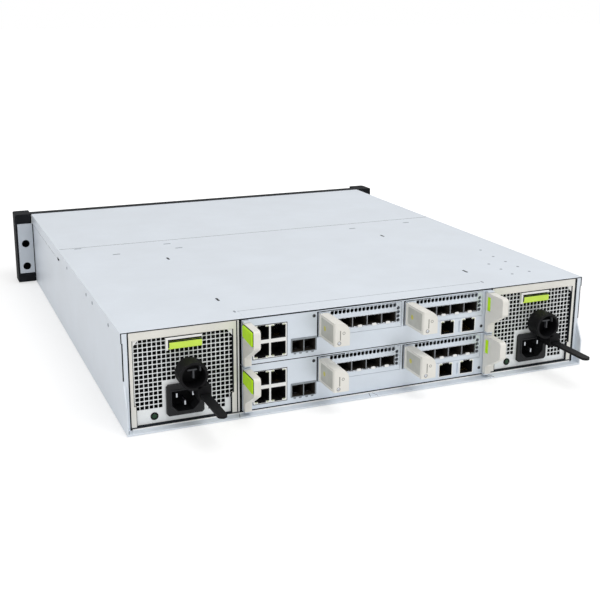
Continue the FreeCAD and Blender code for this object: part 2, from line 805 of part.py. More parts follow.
def cord_strap():
    """Flat retainer strap with a round tip, standing on a foot on the inlet flange."""
    strap = Form("cord_strap_form")
    tip = S.strap_reach - S.strap_width / 2
    strap.add("XY", STRAP_Z, rectangle(span(STRAP_X, S.strap_width), (INLET_FRONT, tip)))
    strap.add("XY", STRAP_Z, Disc(STRAP_X, tip, S.strap_width / 2))
    strap.add("XZ", (INLET_FRONT, INLET_FRONT + S.strap_foot_reach),
              rectangle(span(STRAP_X, S.strap_foot_width), (STRAP_Z[0], STRAP_Z[0] + S.strap_foot_height)))
    return strap.body


def cord_clamp():
    """Open ring that holds a cord, on a saddle that runs along the strap."""
    y = (S.clamp_start, S.clamp_start + S.clamp_length)
    middle = -S.clamp_offset
    clamp = Form("cord_clamp_form")
    saddle = S.strap_width / 2 + S.slip_gap
    saddle_z = (STRAP_Z[0] - S.slip_gap, STRAP_Z[1] + S.slip_gap)
    clamp.add("XZ", y, polygon(CLAMP_SIDES, middle, S.clamp_height, S.clamp_outer))
    clamp.add("XZ", y, rectangle(span(STRAP_X, (saddle + S.clamp_wall) * 2),
                                 (saddle_z[0] - S.clamp_wall, S.clamp_height - S.clamp_inner + S.clamp_wall)))
    clamp.cut("XZ", y, polygon(CLAMP_SIDES, middle, S.clamp_height, S.clamp_inner))
    clamp.cut("XZ", y, rectangle(span(STRAP_X, saddle * 2), saddle_z))
    clamp.cut("XZ", y, rectangle((middle + S.clamp_inner / 2, middle + S.clamp_outer + OVERSHOOT),
                                 span(S.clamp_height, S.clamp_mouth)))
    return clamp.body


# ---------------------------------------------------------------- controllers

BAY_TOP = CTRL_TOP - S.controller_sheet
PIVOT_Y = S.lever_sheet / 2 + S.slip_gap / 2
PIVOT_X = CTRL_HALF - S.lever_sheet / 2
LUG_LOW = (S.slip_gap, S.slip_gap + S.lever_lug)
LUG_HIGH = (CTRL_TOP - S.slip_gap - S.lever_lug, CTRL_TOP - S.slip_gap)
LEVER_LOW = LUG_LOW[1] + S.slip_gap
LEVER_HIGH = LUG_HIGH[0] - S.slip_gap
JACK_HIGH = CTRL_TOP - S.jack_drop
JACK_GROUP_X = CTRL_HALF - S.jack_margin
DUO_GROUP_X = CTRL_HALF - S.duo_margin
PORT_BAY_WIDTH = (CTRL_HALF * 2 - S.port_bay_left - S.port_bay_right - S.port_bay_gap) / 2


def port_bay_centre(bay):
    """Middle of the first or the second port module bay."""
    first = CTRL_HALF - S.port_bay_left - PORT_BAY_WIDTH / 2
    return first - (PORT_BAY_WIDTH + S.port_bay_gap) * bay


def controller_tray():
    """Controller housing: jack blocks, square sockets, port module bays, lever lugs and pins."""
    sheet_t, half = S.controller_sheet, CTRL_HALF
    shell = carve("tray_shell", block(both(half), (-MODULE_LENGTH, 0), (0, CTRL_TOP)),
                  block(both(half - sheet_t), (-MODULE_LENGTH - OVERSHOOT, -sheet_t),
                        (sheet_t, CTRL_TOP - sheet_t)))
    back = (-S.jack_depth - S.jack_wall, -sheet_t)
    solids = [shell]
    tools = []
    # two by two data jacks: latch notches up in the top row, down in the bottom row
    reach = S.jack_pitch + S.jack_width + S.jack_wall * 2
    solids.append(block(span(JACK_GROUP_X, reach), back,
                        (sheet_t, JACK_HIGH + S.jack_height + S.jack_latch_height + S.jack_wall)))
    for x in span(JACK_GROUP_X, S.jack_pitch):
        for level, notch in ((JACK_HIGH, S.jack_height), (S.jack_level_low, -S.jack_latch_height)):
            tools += jack_cut(x, level, notch)
    # pair of square sockets
    reach = S.duo_pitch + S.duo_width + S.jack_wall * 2
    solids.append(block(span(DUO_GROUP_X, reach), (-S.duo_depth - S.jack_wall, -sheet_t),
                        (sheet_t, S.duo_level + S.duo_height + S.jack_wall)))
    for x in span(DUO_GROUP_X, S.duo_pitch):
        tools.append(block(span(x, S.duo_width), (-S.duo_depth, OVERSHOOT),
                           (S.duo_level, S.duo_level + S.duo_height)))
    # two service jacks under the second port bay
    group = port_bay_centre(1) - S.service_offset
    reach = S.service_pitch + S.jack_width + S.jack_wall * 2
    solids.append(block(span(group, reach), back, (sheet_t, S.port_bay_base)))
    for x in span(group, S.service_pitch):
        tools += jack_cut(x, S.service_level, S.jack_height)
    tools.append(block(span(group - S.service_slot, S.service_slot), (-sheet_t, OVERSHOOT),
                       (S.service_level, S.service_level + S.jack_height)))
    # sleeves of the port module bays
    bays = [span(port_bay_centre(bay), PORT_BAY_WIDTH) for bay in range(2)]
    solids.append(block((bays[1][0] - sheet_t, bays[0][1] + sheet_t), (-S.port_bay_depth - sheet_t, -sheet_t),
                        (S.port_bay_base - sheet_t, BAY_TOP)))
    for bay in bays:
        tools.append(block(bay, (-S.port_bay_depth, OVERSHOOT), (S.port_bay_base, BAY_TOP)))
    # board and midplane plug
    plug = span(CTRL_TOP / 2, S.rear_plug_height)
    solids.append(block(both(half - sheet_t), (-MODULE_LENGTH + sheet_t, back[0]),
                        (S.board_height, S.board_height + S.board_sheet)))
    solids.append(block(both(S.rear_plug_width), (-MODULE_LENGTH, -MODULE_LENGTH + S.rear_plug_height),
                        (S.board_height, plug[1])))
    hinges = []
    for turn in (1, -1):
        solids.append(block(ordered((half - sheet_t) * turn, (half + S.runner_reach) * turn),
                            (-MODULE_LENGTH, -S.rail_width),
                            (S.runner_height, S.runner_height + S.runner_sheet)))
        for lug in (LUG_LOW, LUG_HIGH):
            hinges.append(block(ordered((half - S.lever_sheet) * turn, half * turn),
                                (0, PIVOT_Y + S.lever_sheet / 2), lug))
        hinges.append(prism_z(PIN_SIDES, PIVOT_X * turn, PIVOT_Y, S.lever_pin, (LUG_LOW[1], LUG_HIGH[0])))
    tray = carve("controller_tray_form", fuse("tray_body", *solids), *tools)
    return gather("controller_form", tray, *hinges)


def jack_cut(x, level, notch):
    """Opening of one data jack with its narrower latch notch above or below."""
    depth = (-S.jack_depth, OVERSHOOT)
    return [block(span(x, S.jack_width), depth, (level, level + S.jack_height)),
            block(span(x, S.jack_latch_width), depth, (level + notch, level + notch + S.jack_latch_height))]


def lever():
    """Ejector lever: full-height heel on its pin and a broad paddle at the top."""
    x = (CTRL_HALF - S.lever_sheet, CTRL_HALF)
    part = Form("lever_form")
    tip_low = LEVER_HIGH - S.lever_tip_height
    part.add("YZ", x, Outline(
        (PIVOT_Y, LEVER_LOW), (S.lever_block, LEVER_LOW), (S.lever_block, S.lever_heel),
        (S.lever_reach, tip_low), (S.lever_reach, LEVER_HIGH), (PIVOT_Y, LEVER_HIGH)))
    part.add("XY", (LEVER_LOW, LEVER_HIGH), Disc(PIVOT_X, PIVOT_Y, S.lever_sheet / 2))
    part.round("YZ", S.lever_corner, (S.lever_reach, tip_low), (S.lever_reach, LEVER_HIGH))
    gap = S.slip_gap
    seat = S.button_sheet - S.button_proud + S.button_travel + gap
    part.cut("YZ", (CTRL_HALF - seat, CTRL_HALF), button_outline(gap))
    part.cut("YZ", x, rectangle((S.rib_root - gap, S.rib_tip + gap), (S.rib_low - gap, S.rib_high + gap)))
    part.cut("XY", (LEVER_LOW, LEVER_HIGH), polygon(PIN_SIDES, PIVOT_X, PIVOT_Y, S.lever_pin + S.pin_gap))
    return part.body


def button_outline(margin):
    """Outline of the coloured release button, grown by a margin."""
    root, tip, high = S.button_root - margin, S.button_tip + margin, LEVER_HIGH - S.button_top + margin
    return Outline((root, S.button_heel - margin), (tip, S.button_toe - margin), (tip, high), (root, high))


def release_button():
    """Coloured button let into the lever's outer cheek, with a rib through to the inner side."""
    button = Form("release_button_form")
    outer = CTRL_HALF + S.button_proud
    button.add("YZ", (outer - S.button_sheet, outer), button_outline(as_size(0)))
    button.add("YZ", (CTRL_HALF - S.lever_sheet - S.button_proud, outer - S.button_sheet),
               rectangle((S.rib_root, S.rib_tip), (S.rib_low, S.rib_high)))
    return button.body


# ---------------------------------------------------------------- port modules

PORT_HEIGHT = BAY_TOP - S.port_bay_base - S.slip_gap * 2
PORT_HALF = PORT_BAY_WIDTH / 2 - S.port_side_gap
CAGE_PITCH = (PORT_HALF * 2 - S.cage_left - S.cage_right + S.cage_gap) / CAGES
HANDLE_X = PORT_HALF - S.handle_inset
HANDLE_Y = S.handle_knuckle + S.slip_gap
HANDLE_OUT = HANDLE_X + S.handle_sheet / 2
HANDLE_LOW = S.handle_lug + S.slip_gap
HANDLE_HIGH = PORT_HEIGHT - S.handle_lug - S.slip_gap


def port_module():
    """Port module: hollow case, four pluggable cages, vent holes and hinge lugs for its handle."""
    wall, half = S.controller_sheet, PORT_HALF
    shell = carve("port_shell", block(both(half), (-S.port_length, 0), (0, PORT_HEIGHT)),
                  block(both(half - wall), (-S.port_length - OVERSHOOT, -wall), (wall, PORT_HEIGHT - wall)))
    cage_z = (S.cage_base, S.cage_base + S.cage_height)
    cages = block((S.cage_right - half - wall, half - S.cage_left + wall), (-S.cage_depth - wall, -wall),
                  (cage_z[0] - wall, cage_z[1] + wall))
    tools = []
    for index in range(CAGES):
        low = S.cage_right - half + CAGE_PITCH * index
        tools.append(block((low, low + CAGE_PITCH - S.cage_gap), (-S.cage_depth, OVERSHOOT), cage_z))
    vents = [(half - S.vent_left - S.vent_pitch * index, PORT_HEIGHT - S.vent_drop)
             for index in range(VENTS)]
    vents += [(S.side_vent_right - half, S.side_vent_level + S.side_vent_pitch * index)
              for index in range(SIDE_VENTS)]
    tools += [prism_y(VENT_SIDES, x, z, S.vent_radius, (-wall, OVERSHOOT)) for x, z in vents]
    tools.append(block((HANDLE_OUT + S.slip_gap, half + OVERSHOOT), (-S.rail_width, OVERSHOOT),
                       (-OVERSHOOT, PORT_HEIGHT + OVERSHOOT)))
    lugs = [block(span(HANDLE_X, S.handle_sheet), (-wall, HANDLE_Y + S.handle_knuckle),
                  (low, low + S.handle_lug)) for low in (0, PORT_HEIGHT - S.handle_lug)]
    pin = prism_z(PIN_SIDES, HANDLE_X, HANDLE_Y, S.handle_pin, (as_size(0), PORT_HEIGHT))
    return fuse("port_module_form", carve("port_case", fuse("port_body", shell, cages), *tools), pin, *lugs)


def port_handle():
    """Moulded handle: a plate square to the face with its outer edge turned inwards."""
    z = (HANDLE_LOW, HANDLE_HIGH)
    inner, bevel = HANDLE_X - S.handle_sheet / 2, S.handle_sheet / 2
    tab, reach = HANDLE_OUT - S.handle_turn, S.handle_reach
    handle = Form("port_handle_form")
    handle.add("XY", z, Outline(
        (inner, HANDLE_Y), (HANDLE_OUT, HANDLE_Y), (HANDLE_OUT, reach - bevel), (HANDLE_OUT - bevel, reach),
        (tab, reach), (tab, reach - S.handle_sheet), (inner, reach - S.handle_sheet)))
    handle.round("XZ", S.handle_corner, (tab, HANDLE_HIGH))
    handle.add("XY", z, Disc(HANDLE_X, HANDLE_Y, S.handle_knuckle))
    handle.cut("XY", z, polygon(PIN_SIDES, HANDLE_X, HANDLE_Y, S.handle_pin + S.pin_gap))
    return handle.body


# ---------------------------------------------------------------- assembly

SIDES = (("left", 1), ("right", -1))
LEVELS = (("lower", 0), ("upper", 1))


def build_chassis():
    split = FRONT + S.front_cover_length
    node("chassis_tub", chassis_tub())
    node("front_cover", cover("lid_front", (FRONT, split), S.front_cover_drop))
    node("rear_cover", cover("lid_rear", (split + S.cover_seam, REAR), S.rear_cover_drop))
    node("front_trim", front_trim())
    node("inner_frame", inner_frame())
    node("midplane_board", midplane_board())


def build_disks():
    carrier, grip = disk_carrier(), carrier_grip()
    for column in range(COLUMNS):
        for row in range(ROWS):
            place = (bay_centre(column), FRONT, row_base(row))
            tag = "c%d_r%d" % (column + 1, row + 1)
            node("disk_carrier_" + tag, copy_at(carrier, *place))
            node("carrier_grip_" + tag, copy_at(grip, *place))


def build_power_supplies():
    masters = (("psu_case_", psu_case()), ("psu_bezel_", psu_bezel()), ("psu_inlet_", psu_inlet()),
               ("psu_latch_", psu_latch()), ("cord_strap_", cord_strap()), ("cord_clamp_", cord_clamp()))
    for side, turn in SIDES:
        for prefix, master in masters:
            node(prefix + side, copy_at(master, PSU_X * turn, REAR))


def build_controllers():
    tray, lever_left, button_left = controller_tray(), lever(), release_button()
    module, handle = port_module(), port_handle()
    levers = {"left": lever_left, "right": mirror_x(lever_left)}
    buttons = {"left": button_left, "right": mirror_x(button_left)}
    for level, step in LEVELS:
        base = S.module_rest + CTRL_STEP * step
        node("controller_tray_" + level, copy_at(tray, 0, REAR, base))
        for side, _ in SIDES:
            node("lever_%s_%s" % (level, side), copy_at(levers[side], 0, REAR, base))
            node("lever_button_%s_%s" % (level, side), copy_at(buttons[side], 0, REAR, base))
        for bay in range(2):
            place = (port_bay_centre(bay), REAR, base + S.port_bay_base + S.slip_gap)
            node("port_module_%s_%d" % (level, bay + 1), copy_at(module, *place))
            node("port_handle_%s_%d" % (level, bay + 1), copy_at(handle, *place))


def export_nodes():
    """Check every object and sub-part, then write one STEP file per sub-part."""
    doc.recompute()
    for item in doc.Objects:
        if {"Invalid", "Error"} & set(item.State):
            raise RuntimeError("%s failed: %s" % (item.Label, item.State))
    os.makedirs("parts", exist_ok=True)
    for item in NODES:
        if item.Shape.isNull() or not item.Shape.isValid() or not item.Shape.Solids:
            raise RuntimeError("%s has no valid solid" % item.Label)
    for item in NODES:
        item.Shape.exportStep(os.path.join("parts", item.Label + ".step"))
    print("%d sub-parts written" % len(NODES))


build_chassis()
build_disks()
build_power_supplies()
build_controllers()
export_nodes()
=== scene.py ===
"""Looks of a disk shelf enclosure, 2 rack units high, built around its CAD frame.

The frame's axes: origin in the middle of the underside, +X to the right seen from the front, +Y towards
the rear panel, +Z up.  Shapes here are drawn in millimetres and turned into metres when they are placed.
"""

from __future__ import annotations

import json
import logging
import math
from collections.abc import Iterable, Sequence
from dataclasses import dataclass, field
from enum import Enum
from typing import Any

import bmesh
import bpy
from mathutils import Matrix, Vector

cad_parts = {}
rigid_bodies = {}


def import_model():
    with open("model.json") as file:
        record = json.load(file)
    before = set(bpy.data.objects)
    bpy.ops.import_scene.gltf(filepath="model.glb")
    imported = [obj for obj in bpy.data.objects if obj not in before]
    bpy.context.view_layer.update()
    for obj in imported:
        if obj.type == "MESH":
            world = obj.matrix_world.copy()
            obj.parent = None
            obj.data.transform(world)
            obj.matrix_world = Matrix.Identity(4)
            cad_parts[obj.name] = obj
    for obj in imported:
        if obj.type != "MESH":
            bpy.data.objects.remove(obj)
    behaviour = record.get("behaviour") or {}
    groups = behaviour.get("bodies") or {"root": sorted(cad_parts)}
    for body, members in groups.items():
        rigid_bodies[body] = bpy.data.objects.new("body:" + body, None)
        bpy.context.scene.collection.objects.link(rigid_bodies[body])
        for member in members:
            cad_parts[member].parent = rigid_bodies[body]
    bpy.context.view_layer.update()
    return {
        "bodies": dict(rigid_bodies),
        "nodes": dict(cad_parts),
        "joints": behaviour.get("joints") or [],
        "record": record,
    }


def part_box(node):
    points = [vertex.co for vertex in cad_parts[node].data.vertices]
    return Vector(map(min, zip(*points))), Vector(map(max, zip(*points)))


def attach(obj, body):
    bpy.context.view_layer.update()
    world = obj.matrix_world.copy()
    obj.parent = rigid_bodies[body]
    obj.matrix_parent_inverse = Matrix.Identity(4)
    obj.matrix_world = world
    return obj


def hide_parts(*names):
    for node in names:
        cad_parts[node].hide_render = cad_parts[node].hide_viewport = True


LOG = logging.getLogger("disk_shelf")
MM = 0.001  # metres in a millimetre
WELD_REACH = 0.002  # millimetres between corners that are one
SHARP_ANGLE = 32  # degrees over which an edge is rounded
NORMAL_WEIGHT = 90
Point = tuple[float, float]
Span = tuple[float, float]
Colour = tuple[float, float, float]


class Plane(Enum):
    """The plane an outline is drawn in; the number is the axis it is extruded along."""

    YZ = 0
    XZ = 1
    XY = 2


class Slot(Enum):
    """Material slots that the record names."""

    CHASSIS = "chassis_paint"
    BLACK = "black_plastic"
    ZINC = "zinc_sheet"
    BOARD = "board"
    CARRIER = "carrier"
    GRIP = "grip"
    MODULE = "module_metal"
    CREAM = "cream_plastic"
    LIME = "lime_plastic"


# ---------------------------------------------------------------- shader graph


class Wire:
    """An output of a shader graph that takes part in arithmetic."""

    def __init__(self, graph: Graph, socket: bpy.types.NodeSocket) -> None:
        """Wrap one output socket of a graph."""
        self.graph = graph
        self.socket = socket

    def _math(self, operation: str, first: Any, second: Any = 0.0, clamp: bool = False) -> Wire:
        """Send two values through a Math node."""
        return self.graph.add("ShaderNodeMath", {"operation": operation, "use_clamp": clamp},
                              {0: first, 1: second})

    def __add__(self, other: Any) -> Wire:
        """Sum of two values."""
        return self._math("ADD", self, other)

    def __sub__(self, other: Any) -> Wire:
        """This value less another."""
        return self._math("SUBTRACT", self, other)

    def __rsub__(self, other: Any) -> Wire:
        """Another value less this one."""
        return self._math("SUBTRACT", other, self)

    def __mul__(self, other: Any) -> Wire:
        """Product of two values."""
        return self._math("MULTIPLY", self, other)

    def __truediv__(self, other: Any) -> Wire:
        """This value over another."""
        return self._math("DIVIDE", self, other)

    __radd__ = __add__
    __rmul__ = __mul__

    def above(self, level: Any) -> Wire:
        """1 where this value is over a level, 0 elsewhere."""
        return self._math("GREATER_THAN", self, level)

    def clamped(self) -> Wire:
        """This value held between 0 and 1."""
        return self._math("ADD", self, 0.0, clamp=True)

    def ramp(self, low: float, high: float) -> Wire:
        """Smooth rise from 0 at low to 1 at high."""
        return self.graph.add("ShaderNodeMapRange", {"interpolation_type": "SMOOTHSTEP"},
                              {0: self, 1: low, 2: high})


class Graph:
    """The node tree of one material or of the world."""

    def __init__(self, tree: bpy.types.NodeTree) -> None:
        """Empty a node tree and take it over."""
        self.tree = tree
        tree.nodes.clear()

    def add(self, kind: str, settings: dict[str, Any] | None = None,
            values: dict[Any, Any] | None = None, output: Any = 0) -> Wire:
        """Add one node.

        Args:
            kind: the node's type.
            settings: properties of the node, set first.
            values: socket by socket, a Wire to link or a plain value.
            output: the output that the returned wire stands for.

        Returns:
            The wire of the chosen output; None for a node that has no output.
        """
        node = self.tree.nodes.new(kind)
        for key, value in (settings or {}).items():
            setattr(node, key, value)
        for key, value in (values or {}).items():
            if isinstance(value, Wire):
                self.tree.links.new(value.socket, node.inputs[key])
            else:
                node.inputs[key].default_value = value
        outputs = node.outputs
        return Wire(self, outputs[output]) if len(outputs) else None

    def blend(self, factor: Any, first: Any, second: Any, mode: str = "MIX") -> Wire:
        """Mix two colours."""
        return self.add("ShaderNodeMix", {"data_type": "RGBA", "blend_type": mode},
                        {0: factor, 6: first, 7: second}, 2)

    def vector(self, operation: str, first: Any, second: Any, output: Any = 0) -> Wire:
        """Send two vectors through a Vector Math node."""
        return self.add("ShaderNodeVectorMath", {"operation": operation}, {0: first, 1: second}, output)

    def noise(self, place: Wire, size: float, detail: float = 2.0, rough: float = 0.5) -> Wire:
        """Noise whose features are about the given size in millimetres."""
        return self.add("ShaderNodeTexNoise", None,
                        {"Vector": place, "Scale": 1.0 / size, "Detail": detail, "Roughness": rough})


def linear(colour: Colour) -> tuple[float, float, float, float]:
    """Turn a colour of 0 to 255 a channel into the renderer's linear values."""
    channels = [value / 255.0 for value in colour]
    return tuple(c / 12.92 if c <= 0.04045 else ((c + 0.055) / 1.055) ** 2.4 for c in channels) + (1.0,)


def tinted(colour: Colour, factor: float) -> Colour:
    """A colour made lighter or darker."""
    return tuple(min(255.0, value * factor) for value in colour)


# ---------------------------------------------------------------- finishes


@dataclass(frozen=True)
class Finish:
    """A surface finish with its colour, shine and fine relief.

    Attributes:
        name: name of the material.
        colour: main colour, 0 to 255 a channel.
        roughness: how dull the surface is.
        metallic: 1 for bare metal.
        variation: how far the colour wanders over a patch.
        patch: size of those patches, in millimetres.
        grain: size of the relief's features, in millimetres.
        relief: height of the relief, in millimetres.
        wear_and_highlight: how far the rounded edges turn to worn_and_lit_colour, partly as wear and partly
            as a painted edge highlight.
        worn_and_lit_colour: lighter colour of those edges, partly worn and partly painted highlight.
        edge: width of those lightened edges, in millimetres.
        coat: weight of a clear gloss over the colour.
        gleam: strength of the mirror-like part of a non-metal.
    """

    name: str
    colour: Colour
    roughness: float = 0.5
    metallic: float = 0.0
    variation: float = 0.04
    patch: float = 30.0
    grain: float = 0.5
    relief: float = 0.02
    wear_and_highlight: float = 0.25
    worn_and_lit_colour: Colour = (240, 242, 245)
    edge: float = 0.5
    coat: float = 0.0
    gleam: float = 0.5

    def height(self, graph: Graph, place: Wire) -> Wire:
        """Relief of the surface, 0 to 1."""
        return graph.noise(place, self.grain, 3.0)

    def tone(self, graph: Graph, place: Wire, height: Wire) -> Wire:
        """Where the colour turns to its darker or lighter neighbour, 0 to 1."""
        return graph.noise(place, self.patch, 4.0, 0.6) * 0.7 + height * 0.3

    def extra(self, shader: bpy.types.Node, graph: Graph, place: Wire) -> None:
        """Uniform values and masks that only this finish has."""

    def material(self) -> bpy.types.Material:
        """The node material of this finish, made once."""
        found = bpy.data.materials.get(self.name)
        if found:
            return found
        made = bpy.data.materials.new(self.name)
        made.use_nodes = True
        graph = Graph(made.node_tree)
        coordinates = graph.add("ShaderNodeTexCoord", output="Object")
        place = graph.add("ShaderNodeVectorMath", {"operation": "SCALE"},
                          {0: coordinates, "Scale": 1.0 / MM})
        height = self.height(graph, place)
        tone = self.tone(graph, place, height).ramp(0.25, 0.75)
        dark, light = (linear(tinted(self.colour, 1 + turn * self.variation)) for turn in (-1, 1))
        colour = graph.blend(tone, dark, light)
        # Rounded edges turn lighter: partly wear, partly a painted edge highlight.
        blunt = graph.add("ShaderNodeBevel", {"samples": 4}, {"Radius": self.edge * MM})
        true = graph.add("ShaderNodeNewGeometry", output="Normal")
        bend = 1 - graph.vector("DOT_PRODUCT", blunt, true, "Value")
        worn_and_lit_edge = (bend * 8).clamped() * graph.noise(place, 1.8, 3.0).ramp(0.35, 0.75)
        colour = graph.blend(worn_and_lit_edge * self.wear_and_highlight, colour, linear(self.worn_and_lit_colour))
        rough = (tone - 0.5) * 0.08 + (height - 0.5) * 0.06 + self.roughness
        normal = graph.add("ShaderNodeBump", None,
                           {"Strength": 1.0, "Distance": self.relief * MM, "Height": height})
        shade = graph.add("ShaderNodeBsdfPrincipled", None, {
            "Base Color": colour, "Roughness": rough.clamped(), "Metallic": self.metallic,
            "Coat Weight": self.coat, "Specular IOR Level": self.gleam, "Normal": normal})
        self.extra(shade.socket.node, graph, place)
        graph.add("ShaderNodeOutputMaterial", None, {"Surface": shade})
        made.diffuse_color = linear(self.colour)
        return made


@dataclass(frozen=True)
class CoatedSheet(Finish):
    """Pale coated steel sheet: a fine orange peel over faint rolling lines."""

    rolled: float = 0.12

    def height(self, graph: Graph, place: Wire) -> Wire:
        """Orange peel with rolling lines along the sheet."""
        drawn = graph.vector("MULTIPLY", place, (1.0, 0.03, 1.0))
        peel = graph.noise(place, self.grain, 2.0)
        return peel * (1 - self.rolled) + graph.noise(drawn, 0.6) * self.rolled


@dataclass(frozen=True)
class PlatedSheet(Finish):
    """Zinc-plated sheet: soft spangles and a brushed grain."""

    spangle: float = 6.0

    def height(self, graph: Graph, place: Wire) -> Wire:
        """Brushed lines along X."""
        drawn = graph.vector("MULTIPLY", place, (0.06, 1.0, 1.0))
        return graph.noise(drawn, self.grain, 4.0)

    def tone(self, graph: Graph, place: Wire, height: Wire) -> Wire:
        """Spangles of slightly different brightness."""
        cells = graph.add("ShaderNodeTexVoronoi", {"feature": "SMOOTH_F1"},
                          {"Vector": place, "Scale": 1.0 / self.spangle}, "Color")
        grey = graph.add("ShaderNodeRGBToBW", None, {0: cells})
        return grey * 0.5 + graph.noise(place, self.patch) * 0.25 + height * 0.25


@dataclass(frozen=True)
class MouldedPlastic(Finish):
    """Spark-eroded moulded plastic: an even fine pebble."""

    def height(self, graph: Graph, place: Wire) -> Wire:
        """Rounded pebbles."""
        cells = graph.add("ShaderNodeTexVoronoi", None,
                          {"Vector": place, "Scale": 1.0 / self.grain}, "Distance")
        return cells * 0.7 + graph.noise(place, self.grain * 3) * 0.3


@dataclass(frozen=True)
class Lens(Finish):
    """Clear coloured plastic over a lamp, glowing faintly at its heart."""

    glow: float = 0.2

    def extra(self, shader: bpy.types.Node, graph: Graph, place: Wire) -> None:
        """Let some light shine out in the lens's own colour."""
        shader.inputs["Emission Strength"].default_value = self.glow
        faint = graph.blend(graph.noise(place, 0.8).ramp(0.3, 0.7), linear(tinted(self.colour, 0.6)),
                            linear(self.colour))
        graph.tree.links.new(faint.socket, shader.inputs["Emission Color"])


@dataclass(frozen=True)
class Laminate(Finish):
    """Circuit board: dull green laminate with buried copper tracks."""

    def tone(self, graph: Graph, place: Wire, height: Wire) -> Wire:
        """Straight tracks that show through the mask."""
        tracks = graph.add("ShaderNodeTexBrick", None,
                           {"Vector": place, "Scale": 0.12, "Mortar Size": 0.06}, "Fac")
        return tracks * 0.6 + graph.noise(place, self.patch) * 0.4


COATED = CoatedSheet("coated_sheet", (218, 225, 233), 0.42, 0.15, 0.02, 60.0, 0.9, 0.012, 0.35)
# Darker copy of the coated sheet: painted shade in the step's slits and the lances, and the darker spot
# welds and rivets.
MARKS_AND_SHADE = CoatedSheet("coated_marks_and_shade", (128, 135, 146), 0.5, 0.2, 0.04, 20.0, 0.9, 0.012, 0.1)
# Near-black for real slits and joints, and mostly for painted shade: dark strips laid in gaps, under edges
# and around parts.
SEAM_AND_SHADE = MouldedPlastic("seam_shadow", (30, 34, 40), 0.7, 0.0, 0.1, 12.0, 0.5, 0.01, 0.0, gleam=0.1)
ZINC = PlatedSheet("zinc_plated", (214, 220, 227), 0.4, 0.4, 0.04, 30.0, 0.5, 0.012, 0.3)
STEEL = PlatedSheet("bright_steel", (198, 202, 208), 0.26, 0.9, 0.05, 12.0, 0.3, 0.006, 0.3)
PANEL = CoatedSheet("module_panel", (214, 222, 231), 0.36, 0.3, 0.02, 36.0, 0.6, 0.008, 0.3)
NETTING = CoatedSheet("air_mesh", (236, 239, 240), 0.4, 0.1, 0.02, 18.0, 0.5, 0.008, 0.2)
CREAM = MouldedPlastic("cream_moulding", (230, 228, 221), 0.45, 0.0, 0.02, 16.0, 0.22, 0.012, 0.2)
PUTTY = MouldedPlastic("putty_panel", (192, 192, 184), 0.5, 0.0, 0.04, 8.0, 0.25, 0.008, 0.1)
WHITE = MouldedPlastic("white_moulding", (242, 242, 240), 0.42, 0.0, 0.015, 10.0, 0.2, 0.01, 0.1)
LIME = MouldedPlastic("lime_moulding", (212, 243, 92), 0.45, 0.0, 0.03, 12.0, 0.22, 0.012, 0.12,
                      (224, 246, 140), gleam=0.3)
LEAF = MouldedPlastic("leaf_moulding", (196, 248, 26), 0.45, 0.0, 0.04, 12.0, 0.22, 0.012, 0.12,
                      (214, 250, 96), gleam=0.28)
BLACK = MouldedPlastic("black_moulding", (13, 13, 15), 0.55, 0.0, 0.12, 16.0, 0.3, 0.015, 0.2,
                       (50, 50, 54), gleam=0.15)
TRIM = MouldedPlastic("trim_moulding", (24, 26, 29), 0.75, 0.0, 0.1, 24.0, 0.35, 0.015, 0.1,
                      (60, 62, 66), gleam=0.1)
EAR = CoatedSheet("ear_sheet", (188, 194, 201), 0.45, 0.3, 0.03, 30.0, 0.6, 0.01, 0.3)
# Painted shade: a darkened copy of the plated steel, for the square sockets' rim.
STEEL_SHADE = PlatedSheet("steel_painted_shade", (138, 145, 151), 0.45, 0.5, 0.06, 10.0, 0.3, 0.008, 0.2)
FLANGE = MouldedPlastic("inlet_moulding", (34, 35, 37), 0.5, 0.0, 0.08, 12.0, 0.25, 0.015, 0.2,
                        (70, 72, 76), gleam=0.22)
# Painted shade: near-black laid in slots, recesses, screw crosses and behind the air mesh where only shade
# falls; it also lines the jacks.
DARK_SHADE = MouldedPlastic("dark_inside_shade", (12, 12, 14), 0.7, 0.0, 0.2, 8.0, 0.5, 0.02, 0.03, (40, 40, 42),
                      gleam=0.15)
# Painted shade: dark lining inside the cages and square sockets.
THROAT_SHADE = MouldedPlastic("cage_inside_shade", (46, 42, 38), 0.6, 0.2, 0.3, 9.0, 0.5, 0.02, 0.05, (70, 66, 62),
                        gleam=0.2)
CARRIER = PlatedSheet("carrier_plate", (120, 124, 130), 0.4, 0.5, 0.06, 20.0, 0.5, 0.015, 0.3)
GRIP = MouldedPlastic("grip_moulding", (58, 60, 64), 0.45, 0.0, 0.08, 16.0, 0.3, 0.02, 0.3, (120, 122, 126))
GOLD = PlatedSheet("gold_contact", (222, 182, 92), 0.25, 1.0, 0.06, 3.0, 0.2, 0.005, 0.1, (240, 214, 150))
BOARD = Laminate("board_laminate", (36, 84, 58), 0.45, 0.0, 0.3, 12.0, 0.6, 0.01, 0.1, (120, 150, 130))
# Painted shade: grey for flat marks that stand for moulded grooves.
GROOVE_SHADE = MouldedPlastic("moulded_groove_shade", (140, 138, 132), 0.6, 0.0, 0.05, 6.0, 0.3, 0.01, 0.0)
LABEL = MouldedPlastic("yellow_spot", (206, 200, 96), 0.5, 0.0, 0.06, 4.0, 0.3, 0.006, 0.1)
LED = Lens("lamp_lens", (182, 188, 150), 0.2, 0.0, 0.08, 3.0, 0.4, 0.004, 0.1, coat=0.5, glow=0.02)
GREEN_LAMP = Lens("green_lamp", (8, 54, 28), 0.25, 0.0, 0.1, 2.0, 0.4, 0.004, 0.05, coat=0.1, gleam=0.3,
                  glow=0.05)


# ---------------------------------------------------------------- shapes


